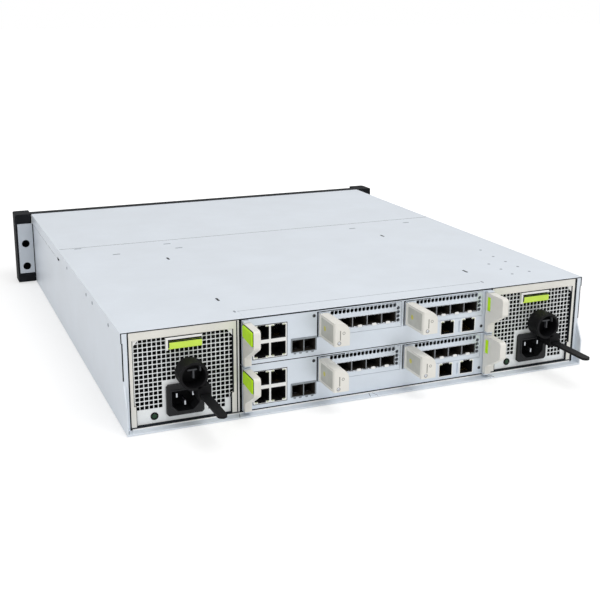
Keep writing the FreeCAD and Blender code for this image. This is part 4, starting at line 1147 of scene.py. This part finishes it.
        # Painted shade: the black disc closing the ring's back keeps its inside dark.
        floor = ((inner + 0.8, 0), (inner + 0.8, 1), (inner - 3, 1.6), (0, 1.8))
        clamp.turned(Plane.XZ, (x, z), y[0], floor, 48)
        strap = self.at(self.strap_x)
        saddle = rounded(about(strap, self.saddle_width), (self.saddle_low, z - inner + 0.6), 0.8)
        window = rectangle(about(strap, self.saddle_window[0]), self.saddle_window[1:])
        clamp.plate(Plane.XZ, saddle, [window], y)
        for index in range(self.clamp_ridges):
            angle = math.pi + math.radians(self.clamp_ridge_turn * (index - self.clamp_ridges // 2))
            out = Vector((math.cos(angle), math.sin(angle)))
            across = Vector((-out.y, out.x))
            spots = [Vector((x, z)) + out * (outer + 0.05 + 0.5 * b) + across * 0.55 * a
                     for a, b in ((-1, -1), (1, -1), (0.6, 1), (-0.6, 1))]
            clamp.prism(Plane.XZ, [tuple(spot) for spot in spots], (y[0] + 1, y[1] - 1))
        name = "cord_clamp" + self.ending
        self.put("clamp_ring", clamp, BLACK, Slot.BLACK, name, replaces=True)
        # Painted highlight: the catch inside the ring is a lighter grey than the ring.
        pawl_highlight = Shape(0.25)
        for u, width, low, high in ((0.5, 8, 4.2, 5.6), (-0.5, 1.5, -2.4, 4.4), (-6.4, 1.2, 3.0, 7.4)):
            pawl_highlight.block(about(x + u, width), (y[0] + 9, y[0] + 12), (z + low, z + high))
        self.put("clamp_catch_highlight", pawl_highlight, GRIP, Slot.BLACK, name)


# ---------------------------------------------------------------- controllers


@dataclass
class Controller(Assembly):
    """Controller drawer: jacks, square sockets, ejector levers and two port modules.

    Heights are measured from the underside of the drawer.
    """

    level: str
    jack: Point = (12.6, 10.6)
    jack_depth: float = 15.9
    notch: Point = (6.4, 1.4)
    contacts: int = 8
    contact_pitch: float = 1.02
    contact_lean: float = 3.4
    jack_lamp: Point = (5.1, 0.75)
    group_x: float = 96.05
    group_width: float = 30.6
    group_height: Span = (4.0, 33.3)
    jack_spread: float = 15.1
    high_row: float = 20.9
    low_row: float = 6.2
    service_x: float = -87.75
    service_spread: float = 22.0
    service_low: float = 3.3
    duo_x: float = 65.0
    duo_spread: float = 11.2
    duo: tuple[float, float, float] = (10.0, 10.2, 5.8)
    duo_depth: float = 17.9
    duo_rim: float = 24.0
    pad_rise: Span = (6.0, 3.9)
    half: float = 121.2
    face_height: Span = (0.3, 40.15)
    screws: tuple[Point, ...] = ((55.5, 36.1), (-112.8, 6.0))
    proud: float = 0.3
    base: float = field(init=False)

    def __post_init__(self) -> None:
        """Find the controller's place in the frame."""
        super().__post_init__()
        self.ending = "_" + self.level
        self.home = "controller_tray" + self.ending
        self.base = self.rig.box(self.home)[2][0]

    def build(self) -> None:
        """Dress tray and levers, then build jacks, sockets, screws and port modules."""
        self.rig.dress(self.home, PANEL, 0.15)
        for side in ("left", "right"):
            self.rig.dress(f"lever{self.ending}_{side}", CREAM, 0.55)
            self.rig.dress(f"lever_button{self.ending}_{side}", LEAF, 0.6)
        self.build_data_jacks()
        self.build_service_jacks()
        self.build_square_sockets()
        self.build_fasteners()
        self.build_painted_drawer_lines()
        self.build_lever_pads()
        for bay in (1, 2):
            PortModule(self.rig, self.level, bay).build()

    def opening(self, x: float, low: float, up: bool, inset: float = 0.0) -> list[Point]:
        """Outline of a jack opening with its latch notch above or below.

        Args:
            x: middle of the opening.
            low: its lower edge.
            up: the notch is above.
            inset: how far the outline is drawn in all round.

        Returns:
            The outline's corners.
        """
        half, small = self.jack[0] / 2 - inset, self.notch[0] / 2 - inset
        bottom, top = self.base + low + inset, self.base + low + self.jack[1] - inset
        if up:
            tip = top + self.notch[1]
            return [(x - half, bottom), (x + half, bottom), (x + half, top), (x + small, top),
                    (x + small, tip), (x - small, tip), (x - small, top), (x - half, top)]
        tip = bottom - self.notch[1]
        return [(x - half, bottom), (x - small, bottom), (x - small, tip), (x + small, tip),
                (x + small, bottom), (x + half, bottom), (x + half, top), (x - half, top)]

    def build_jack(self, name: str, x: float, low: float, up: bool) -> None:
        """Liner, contacts and corner lamps of one jack."""
        y, deep = self.rear, self.rear - self.jack_depth
        shade_box_x = Shape(0.03).plate(Plane.XZ, self.opening(x, low, up, -0.6),
                                  [self.opening(x, low, up, 0.2)], (deep, y + 0.05))
        shade_box_x.prism(Plane.XZ, self.opening(x, low, up, 0.1), (deep, y - 15.3))
        self.put("jack_liner_" + name, shade_box_x, DARK_SHADE, Slot.BLACK)
        wires = Shape(0.0)
        edge = self.base + low + (0.5 if up else self.jack[1] - 0.5)
        lean = self.contact_lean if up else -self.contact_lean
        for index in range(self.contacts):
            place = x + (index - (self.contacts - 1) / 2) * self.contact_pitch
            wires.prism(Plane.YZ, [(y - 3.0, edge), (y - 2.6, edge), (y - 12.4, edge + lean),
                                   (y - 12.8, edge + lean)], about(place, 0.35))
        self.put("jack_contacts_" + name, wires, GOLD, Slot.ZINC)
        lamps = Shape(0.1)
        spread, rise = self.jack_lamp
        level = self.base + low + (self.jack[1] + rise if up else -rise)
        for place in (x - spread, x + spread):
            lamps.pill(Plane.XZ, about(place, 2.1), about(level, 1.0), 0.3,
                       self.behind(-1.5, self.proud + 0.06), 2)
        self.put("jack_lamps_" + name, lamps, LED, Slot.LIME)

    def build_data_jacks(self) -> None:
        """Two by two jacks in one pale moulded block, with painted shade round the block."""
        places = [(x, low, up) for low, up in ((self.high_row, True), (self.low_row, False))
                  for x in about(self.group_x, self.jack_spread)]
        holes = [self.opening(x, low, up, -0.45) for x, low, up in places]
        z = grown(self.group_height, self.base, self.base)
        block = Shape(0.2).plate(Plane.XZ, rounded(about(self.group_x, self.group_width), z, 0.5), holes,
                                 self.behind(-0.9, self.proud))
        self.put("jack_block", block, WHITE, Slot.CREAM)
        # Painted shade: a near-black frame round the jack block.
        edges = [rectangle(about(self.group_x, self.group_width + 2 * out), grown(z, -rise, rise))
                 for out, rise in ((0.6, 0.6), (-0.2, -0.2))]
        shade = Shape(0.05).plate(Plane.XZ, edges[0], edges[1:], self.behind(-0.5, 0.04))
        self.put("jack_block_shade", shade, DARK_SHADE, Slot.BLACK)
        for index, place in enumerate(places, start=1):
            self.build_jack(f"data_{index}", *place)

    def build_service_jacks(self) -> None:
        """Two jacks in steel shields under the second port module."""
        low = self.service_low
        for index, x in enumerate(about(self.service_x, self.service_spread), start=1):
            z = (self.base + low - 1.0, self.base + low + self.jack[1] + 1.8)
            shield = Shape(0.15).plate(Plane.XZ, rounded(about(x, self.jack[0] + 2.2), z, 0.6),
                                       [self.opening(x, low, True, -0.3)], self.behind(-0.9, self.proud))
            self.put(f"jack_shield_{index}", shield, WHITE, Slot.CREAM)
            self.build_jack(f"service_{index}", x, low, True)

    def build_square_sockets(self) -> None:
        """Pair of square sockets in a sprung steel rim; rim and insides are darkened as painted shade."""
        wide, high, low = self.duo
        places = about(self.duo_x, self.duo_spread)
        z = (self.base + low, self.base + low + high)
        outline = rounded(about(self.duo_x, self.duo_rim), grown(z, -0.8, 2.0), 0.7)
        windows = [rectangle(about(x, wide + 0.5), grown(z, -0.2, 0.3)) for x in places]
        rim = Shape(0.15).plate(Plane.XZ, outline, windows, self.behind(-0.9, self.proud + 0.1))
        inside_shading, tongues = Shape(0.05), Shape(0.2)
        for x in places:
            for place in (x - 2.6, x + 2.6):
                rim.pill(Plane.XZ, about(place, 2.4), (z[0] - 2.2, z[0] - 0.6), 0.5,
                         self.behind(-0.4, self.proud), 2)
            inside_shading.plate(Plane.XZ, rectangle(about(x, wide + 0.9), grown(z, -0.4, 0.6)),
                         [rectangle(about(x, wide - 0.4), grown(z, 0.2, -0.2))],
                         self.behind(-self.duo_depth, 0.05))
            inside_shading.block(about(x, wide - 0.2), self.behind(-self.duo_depth, -17.3), grown(z, 0.1, -0.1))
            tongues.block(about(x, 6.4), self.behind(-17.5, -9), (z[1] - 5.0, z[1] - 3.4))
            tongues.block(about(x, 3.0), self.behind(-17.5, -5.0), (z[0] + 0.4, z[0] + 1.4))
        self.put("square_rim", rim, STEEL_SHADE, Slot.ZINC)
        self.put("square_inside_shade", inside_shading, THROAT_SHADE, Slot.BLACK)
        self.put("square_tongues", tongues, FLANGE, Slot.BLACK)

    def build_painted_drawer_lines(self) -> None:
        """Painted shade: dark strips on the drawer's sides and a dark line over its face."""
        (low, top), half = grown(self.face_height, self.base, self.base), self.half
        line = 0.4 if self.level == "lower" else 0.25
        drawer_shade_sheet = Shape(0.0).pair((half - 0.2, half + 0.06), self.behind(-40, -0.9), (low, top - 0.05))
        drawer_shade_sheet.block((-half, half), self.behind(-1.0, 0.05), (top, top + line))
        self.put("drawer_shade_strips", drawer_shade_sheet, SEAM_AND_SHADE, Slot.BLACK)

    def build_lever_pads(self) -> None:
        """Details of the release buttons at both sides."""
        self.build_lever_pad(self.ending + "_left", 1)
        self.build_lever_pad(self.ending + "_right", -1)

    def build_lever_pad(self, tag: str, turn: int) -> None:
        """Coloured cap on one release button, its toe, dark lines of painted shade around the cap, and a
        painted shade strip on the tray beside it.

        Args:
            tag: last part of the names of the button and its lever.
            turn: 1 where the button faces +X, -1 where it faces -X.
        """
        button, lever = "lever_button" + tag, "lever" + tag
        x, y, z = self.rig.box(button)
        outer = x[1] if turn > 0 else x[0]
        root, tip, top = y[0] + 0.05, y[1] - 0.05, z[1] - 0.1
        heel, toe = (z[0] + rise for rise in self.pad_rise)

        def out(low: float, high: float) -> Span:
            """X span of two places measured outwards from the button's face."""
            return ordered(outer + low * turn, outer + high * turn)

        outline = softened([(root, heel), (tip, toe), (tip, top), (root, top)], 1.6)
        cap = Shape(0.4, 3).prism(Plane.YZ, outline, out(-0.1, 1.0))
        self.rig.add("lever_pad" + tag, cap, LEAF, button, Slot.LIME)
        outline = [(root, z[0] + 0.12), (tip - 1.2, toe - 0.1), (root, heel - 0.05)]
        foot = Shape(0.0).prism(Plane.YZ, outline, out(-0.1, 0.06))
        self.rig.add("lever_toe" + tag, foot, CREAM, button, Slot.CREAM)
        # Painted shade: dark lines around the cap.
        pad_outline_shading, sheet = Shape(0.0), out(-0.3, -0.08)
        pad_outline_shading.block(sheet, (tip + 0.15, tip + 1.0), (toe + 0.6, top + 0.9))
        pad_outline_shading.block(sheet, (root + 1.2, tip + 0.6), (top + 0.2, top + 0.9))
        pad_outline_shading.block(sheet, (root - 2.1, root - 0.05), (toe, top + 0.9))
        self.rig.add("lever_outline_shade" + tag, pad_outline_shading, SEAM_AND_SHADE, lever, Slot.BLACK)
        # Painted shade: a dark strip on the tray beside the lever.
        shade = Shape(0.0).block(out(0.02, 0.98), self.behind(-0.6, 0.05), (toe, top + 1.3))
        self.rig.add("tray_corner_shade" + tag, shade, SEAM_AND_SHADE, self.home, Slot.BLACK)

    def build_fasteners(self) -> None:
        """Cross-head screws of the face plate, their crosses drawn as painted shade."""
        heads, cross_shading = Shape(0.0), Shape(0.0)
        dome = ((1.5, -0.5), (1.5, 0.15), (1.2, 0.4), (0, 0.48))
        for x, z in self.screws:
            level = self.base + z
            heads.turned(Plane.XZ, (x, level), self.rear, dome, 28)
            for wide, high in ((1.8, 0.35), (0.35, 1.8)):
                cross_shading.block(about(x, wide), self.behind(0.3, 0.5), about(level, high))
        self.put("face_screws", heads, GRIP, Slot.ZINC)
        self.put("screw_cross_shade", cross_shading, DARK_SHADE, Slot.BLACK)


# ---------------------------------------------------------------- port modules


@dataclass
class PortModule(Assembly):
    """Plug-in module with four pluggable cages, a row of vents and a turned handle.

    Places across the module are measured from its middle, heights from its underside.
    """

    level: str
    bay: int
    half: float = 40.6
    wall: float = 1.2
    cages: int = 4
    cage_first: float = -34.75
    cage_pitch: float = 14.2
    cage: tuple[float, float, float] = (13.1, 5.2, 13.8)
    cage_play: float = -0.38
    cage_depth: float = 40.0
    socket_front: float = 26.0
    socket_width: float = 10.4
    socket_height: Span = (6.6, 10.6)
    plug_half: float = 30.0
    fingers: int = 3
    finger_width: float = 2.4
    vent_radius: float = 1.65
    vent_height: float = 4.3
    vent_first: float = 26.8
    vent_pitch: float = 3.79
    vents: int = 17
    vent_drop: float = 2.2
    side_vent: Span = (-37.5, 6.0)
    side_vent_pitch: float = 3.7
    side_vents: int = 4
    hinge: Point = (38.2, 1.7)
    lug: float = 0.8
    handle_wall: float = 39.4
    handle_side: float = 39.1
    handle_width: float = 14.0
    handle_sheet: float = 1.6
    handle_corner: float = 9.0
    pip_places: tuple[float, ...] = (0.05, -13.95, -27.45)
    z: float = field(init=False)
    top: float = field(init=False)
    front: float = field(init=False)

    def __post_init__(self) -> None:
        """Find the module's place in the frame."""
        super().__post_init__()
        self.ending = f"_{self.level}_{self.bay}"
        self.home = "port_module" + self.ending
        (low, _), (self.front, _), (self.z, self.top) = self.rig.box(self.home)
        self.middle = low + self.half

    def build(self) -> None:
        """Build case, face, cages and pips, and dress the handle."""
        self.build_case()
        self.build_cages()
        self.build_hinge_shade()
        self.build_handle()

    def cage_openings(self, inset: float) -> list[list[Point]]:
        """Outlines of the cage openings, drawn in by an inset."""
        width, low, high = self.cage
        return [rectangle(self.wide(left + inset, left + width - inset),
                          (self.z + low + inset, self.z + high - inset))
                for left in (self.cage_first + self.cage_pitch * i for i in range(self.cages))]

    def build_case(self) -> None:
        """Case, pierced face plate and hinge lugs."""
        half, wall, y, z, top = self.half, self.wall, self.rear, self.z, self.top
        case = Shape(0.15)
        back = y - 10
        for low in (z, top - wall):
            case.block(self.wide(-half, half), (self.front, back), (low, low + wall))
            case.block(self.wide(-half, self.handle_wall), (back, y - wall), (low, low + wall))
        between = (z + wall, top - wall)
        case.block(self.wide(-half, wall - half), (self.front, y - wall), between)
        case.block(self.wide(half - wall, half), (self.front, back), between)
        case.block(self.wide(38.3, self.handle_wall), (back, y - wall), between)
        plug = self.wide(-self.plug_half, self.plug_half)
        case.block(plug, (self.front, self.front + 8), (z + 6, top - 7))
        lug = self.lug
        for low in (z, top - lug):
            case.pill(Plane.XY, self.wide(37.3, 39.1), (y - wall, y + 3.1), lug, (low, low + lug), 5)
        pin = ((0.7, 0), (0.7, top - z))
        case.turned(Plane.XY, (self.at(self.hinge[0]), y + self.hinge[1]), z, pin, 20)
        vents = [rounded(about(self.at(self.vent_first - self.vent_pitch * i), self.vent_radius * 2),
                         about(top - self.vent_drop, self.vent_height), self.vent_radius - 0.05, 5)
                 for i in range(self.vents)]
        vents += [circle(self.at(self.side_vent[0]), z + self.side_vent[1] + self.side_vent_pitch * i,
                         self.vent_radius, 18) for i in range(self.side_vents)]
        case.plate(Plane.XZ, rectangle(self.wide(-half, self.handle_wall), (z, top)),
                   vents + self.cage_openings(self.cage_play), (y - wall, y))
        self.put("port_case", case, PANEL, Slot.MODULE, replaces=True)

    def build_cages(self) -> None:
        """Steel cage collars with spring fingers, throats lined with painted shade, and light pips."""
        width, low, high = self.cage
        right = self.cage_first
        left = right + self.cage_pitch * (self.cages - 1) + width
        z = (self.z + low, self.z + high)
        collar = Shape(0.12).plate(
            Plane.XZ, rounded(self.wide(right - 0.9, left + 0.9), grown(z, -0.8, 0.8), 0.5),
            self.cage_openings(self.cage_play), self.behind(-0.6, 0.3))
        spring = ((0.25, -0.1), (0.05, 0.12), (-3.6, 0.3), (-5.4, 0.05), (-5.4, -0.1))
        for index in range(self.cages):
            for finger in range(self.fingers):
                place = right + self.cage_pitch * index + width * (finger + 0.5) / self.fingers
                for level, turn in zip(z, (1, -1)):
                    collar.prism(Plane.YZ, [(self.rear + out, level + rise * turn) for out, rise in spring],
                                 about(self.at(place), self.finger_width))
        self.put("cage_collar", collar, STEEL, Slot.MODULE)
        throat_shading, noses, end = Shape(0.05), Shape(0.2), self.rear - self.cage_depth
        for outer, inner in zip(self.cage_openings(-0.04), self.cage_openings(0.3)):
            throat_shading.plate(Plane.XZ, outer, [inner], (end, self.rear - 0.7))
            throat_shading.prism(Plane.XZ, outer, (end - 0.6, end))
            middle = (outer[0][0] + outer[1][0]) / 2
            noses.block(about(middle, self.socket_width), (end, self.rear - self.socket_front),
                        grown(self.socket_height, self.z, self.z))
        self.put("cage_throat_shade", throat_shading, THROAT_SHADE, Slot.BLACK)
        self.put("cage_sockets", noses, BLACK, Slot.BLACK)
        pips = Shape(0.25)
        for place in self.pip_places:
            pips.pill(Plane.XZ, about(self.at(place), 4.4), (self.z + 4.0, self.z + 6.2), 1.0,
                      self.behind(-0.6, 0.6))
        self.put("light_pips", pips, WHITE, Slot.CREAM)

    def build_hinge_shade(self) -> None:
        """Painted shade: dark blocks in the recess beside and above the handle's hinge."""
        painted_gap_shade = Shape(0.0).block(self.wide(self.handle_wall + 0.02, 40.55), self.behind(-9.9, -1.4),
                               (self.z + 0.1, self.top - 0.1))
        painted_gap_shade.block(self.wide(14, 40.5), self.behind(-1.0, 0.05), (self.top - 0.35, self.top + 0.25))
        self.put("hinge_gap_shade", painted_gap_shade, SEAM_AND_SHADE, Slot.BLACK)

    def build_handle(self) -> None:
        """Dress the handle and add its top, panel, spot, grooves painted as flat grey shade, and screw."""
        handle = "port_handle" + self.ending
        self.rig.dress(handle, CREAM, 0.4)
        _, (_, out), z = self.rig.box(handle)
        thick, corner, middle = self.handle_sheet, self.handle_corner, sum(z) / 2
        side = self.at(self.handle_side)
        arc = [(math.cos(t), math.sin(t)) for t in (math.radians(90 + 9 * i) for i in range(11))]
        centre = (side - self.handle_width + corner, z[1] - corner + 0.1)
        shell = [(side + 0.12, z[1] + 0.1)]
        for radius, turns in ((corner, arc), (corner - thick, arc[::-1])):
            shell += [(centre[0] + radius * c, centre[1] + radius * s) for c, s in turns]
        shell.append((side + 0.12, z[1] - thick + 0.1))
        top = Shape(0.3).prism(Plane.XZ, shell, (self.rear + 1.2, out - 0.5))
        y = (self.rear + 4.5, out - 2.6)
        panel = Shape(0.12).pill(Plane.YZ, y, grown(z, 2.0, -2.0), 1.4, (side - 0.3, side + 0.05))
        rim = Shape(0.1).plate(Plane.YZ, rounded(grown(y, -0.3, 0.3), grown(z, 1.7, -1.7), 1.6),
                               [rounded(grown(y, 0.3, -0.3), grown(z, 2.3, -2.3), 1.2)],
                               (side - 0.3, side + 0.2))
        spot = Shape(0.05).turned(Plane.YZ, (self.rear + 12, middle), side,
                                  ((2.2, -0.1), (2.2, 0.08), (1.9, 0.12), (0, 0.12)), 28)
        end, screw_place = (out - 0.4, out + 0.03), (side - 4.2, z[0] + 2.9)
        # The grooves are flat grey plates: painted shade, not cut grooves.
        shaded_grooves = Shape(0.0).pill(Plane.XZ, about(side - 5.2, 0.9), about(middle - 0.6, 8.6), 0.4, end)
        for place, outer, inner, sides in ((screw_place, 1.75, 1.3, 28),
                                           ((side - 8.4, middle + 1.2), 1.3, 0.85, 24)):
            shaded_grooves.plate(Plane.XZ, circle(*place, outer, sides), [circle(*place, inner, sides)], end)
        screw = Shape(0.0).turned(Plane.XZ, screw_place, out, (
            (1.2, -0.3), (1.2, 0.12), (0.9, 0.25), (0.45, 0.25), (0.35, 0.1), (0, 0.08)), 24)
        for name, form, finish, slot in (
                ("handle_top", top, CREAM, Slot.CREAM), ("handle_panel", panel, PUTTY, Slot.CREAM),
                ("handle_rim", rim, CREAM, Slot.CREAM), ("handle_spot", spot, LABEL, Slot.LIME),
                ("handle_groove_shade", shaded_grooves, GROOVE_SHADE, Slot.CREAM), ("handle_screw", screw, STEEL, Slot.ZINC)):
            self.put(name, form, finish, slot, handle)


# ---------------------------------------------------------------- studio


@dataclass
class Studio:
    """Plain pale floor, soft lamps and the camera."""

    place: tuple[float, float, float] = (0.37838, 0.97478, 0.33858)
    turn: float = 0.37959
    tilt: float = 0.25802
    roll: float = -0.0003
    lens: float = 58.93
    shift: tuple[float, float] = (0.0333, -0.0633)
    clip: float = 0.01
    aim: tuple[float, float, float] = (0.0, 0.0, 0.04)
    floor_size: float = 12.0
    floor_level: float = -0.0005
    sky: float = 0.5
    paper_share: float = 0.45
    paper_glow: float = 1.25
    paper_reach: Span = (0.3, 0.75)
    lamps: tuple[tuple[str, tuple[float, float, float], float, float], ...] = (
        ("key_lamp", (-0.4, 1.3, 2.5), 1.6, 36.0),
        ("fill_lamp", (2.0, 1.9, 1.2), 1.4, 9.0))

    def build(self) -> None:
        """Set floor, sky, lamps, camera and view."""
        self.floor()
        self.world()
        for name, place, size, power in self.lamps:
            self.lamp(name, place, size, power)
        self.camera()
        bpy.context.scene.view_settings.view_transform = "Standard"

    def floor(self) -> None:
        """Wide floor at the underside."""
        data = bpy.data.meshes.new("studio_floor")
        sheet = bmesh.new()
        bmesh.ops.create_grid(sheet, x_segments=8, y_segments=8, size=self.floor_size)
        sheet.to_mesh(data)
        sheet.free()
        item = bpy.data.objects.new("studio_floor", data)
        item.location.z = self.floor_level
        bpy.context.scene.collection.objects.link(item)
        data.materials.append(self.paper())

    def seen(self, graph: Graph) -> Wire:
        """1 where the camera looks, straight or through a reflection or a clear piece."""
        path = graph.add("ShaderNodeLightPath", output="Is Camera Ray")
        outputs = path.socket.node.outputs
        other = Wire(graph, outputs["Is Glossy Ray"]) + Wire(graph, outputs["Is Transmission Ray"])
        return (path + other).clamped()

    def paper(self) -> bpy.types.Material:
        """White paper that glows a little where it is seen, and keeps the shadow."""
        made = bpy.data.materials.new("studio_paper")
        made.use_nodes = True
        graph = Graph(made.node_tree)
        place = graph.add("ShaderNodeTexCoord", output="Object")
        fibre = graph.add("ShaderNodeTexNoise", None, {"Vector": place, "Scale": 900.0, "Detail": 3.0})
        tone = graph.blend(fibre, (0.93, 0.93, 0.93, 1.0), (0.96, 0.96, 0.96, 1.0))
        bump = graph.add("ShaderNodeBump", None, {"Strength": 0.2, "Distance": 0.0001, "Height": fibre})
        paper = graph.add("ShaderNodeBsdfPrincipled", None,
                          {"Base Color": tone, "Roughness": 0.9, "Specular IOR Level": 0.1, "Normal": bump})
        glow = graph.add("ShaderNodeEmission", None,
                         {"Color": (1.0, 1.0, 1.0, 1.0), "Strength": self.paper_glow})
        away = graph.vector("LENGTH", place, (0.0, 0.0, 0.0), "Value").ramp(*self.paper_reach)
        share = away * (1 - self.paper_share) + self.paper_share
        mixed = graph.add("ShaderNodeMixShader", None, {0: self.seen(graph) * share, 1: paper, 2: glow})
        graph.add("ShaderNodeOutputMaterial", None, {"Surface": mixed})
        return made

    def world(self) -> None:
        """Even sky that shows white to the camera and in reflections."""
        world = bpy.data.worlds.new("studio_sky")
        world.use_nodes = True
        graph = Graph(world.node_tree)
        strength = self.seen(graph) * (1 - self.sky) + self.sky
        light = graph.add("ShaderNodeBackground", None,
                          {"Color": (1.0, 1.0, 1.0, 1.0), "Strength": strength})
        graph.add("ShaderNodeOutputWorld", None, {"Surface": light})
        bpy.context.scene.world = world

    def lamp(self, name: str, place: tuple[float, float, float], size: float, power: float) -> None:
        """Soft square lamp turned to the middle of the case."""
        data = bpy.data.lights.new(name, "AREA")
        data.shape = "SQUARE"
        data.size = size
        data.energy = power
        item = bpy.data.objects.new(name, data)
        item.location = place
        item.rotation_euler = (Vector(self.aim) - Vector(place)).to_track_quat("-Z", "Y").to_euler()
        bpy.context.scene.collection.objects.link(item)

    def camera(self) -> None:
        """Camera above the rear left corner."""
        sin, cos = math.sin, math.cos
        ahead = -Vector((sin(self.turn) * cos(self.tilt), cos(self.turn) * cos(self.tilt), sin(self.tilt)))
        right = Vector((-cos(self.turn), sin(self.turn), 0))
        up = right.cross(ahead)
        across = right * cos(self.roll) + up * sin(self.roll)
        upright = up * cos(self.roll) - right * sin(self.roll)
        data = bpy.data.cameras.new("camera")
        data.lens = self.lens
        data.shift_x, data.shift_y = self.shift
        data.clip_start = self.clip
        item = bpy.data.objects.new("camera", data)
        turned = Matrix((across, upright, -ahead)).transposed().to_4x4()
        item.matrix_world = Matrix.Translation(self.place) @ turned
        bpy.context.scene.collection.objects.link(item)
        bpy.context.scene.camera = item


def corners(bounds: tuple[Vector, Vector]) -> list[list[float]]:
    """Two corners as plain lists of numbers."""
    return [list(corner) for corner in bounds]


def main() -> None:
    """Build every sub-assembly around the frame."""
    logging.basicConfig(level=logging.INFO, format="%(message)s")
    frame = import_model()
    rig = Rig(frame)
    Chassis(rig).build()
    DiskBay(rig).build()
    for side in ("left", "right"):
        PowerSupply(rig, side).build()
    for level in ("lower", "upper"):
        Controller(rig, level).build()
    Studio().build()


if __name__ == "__main__":
    main()
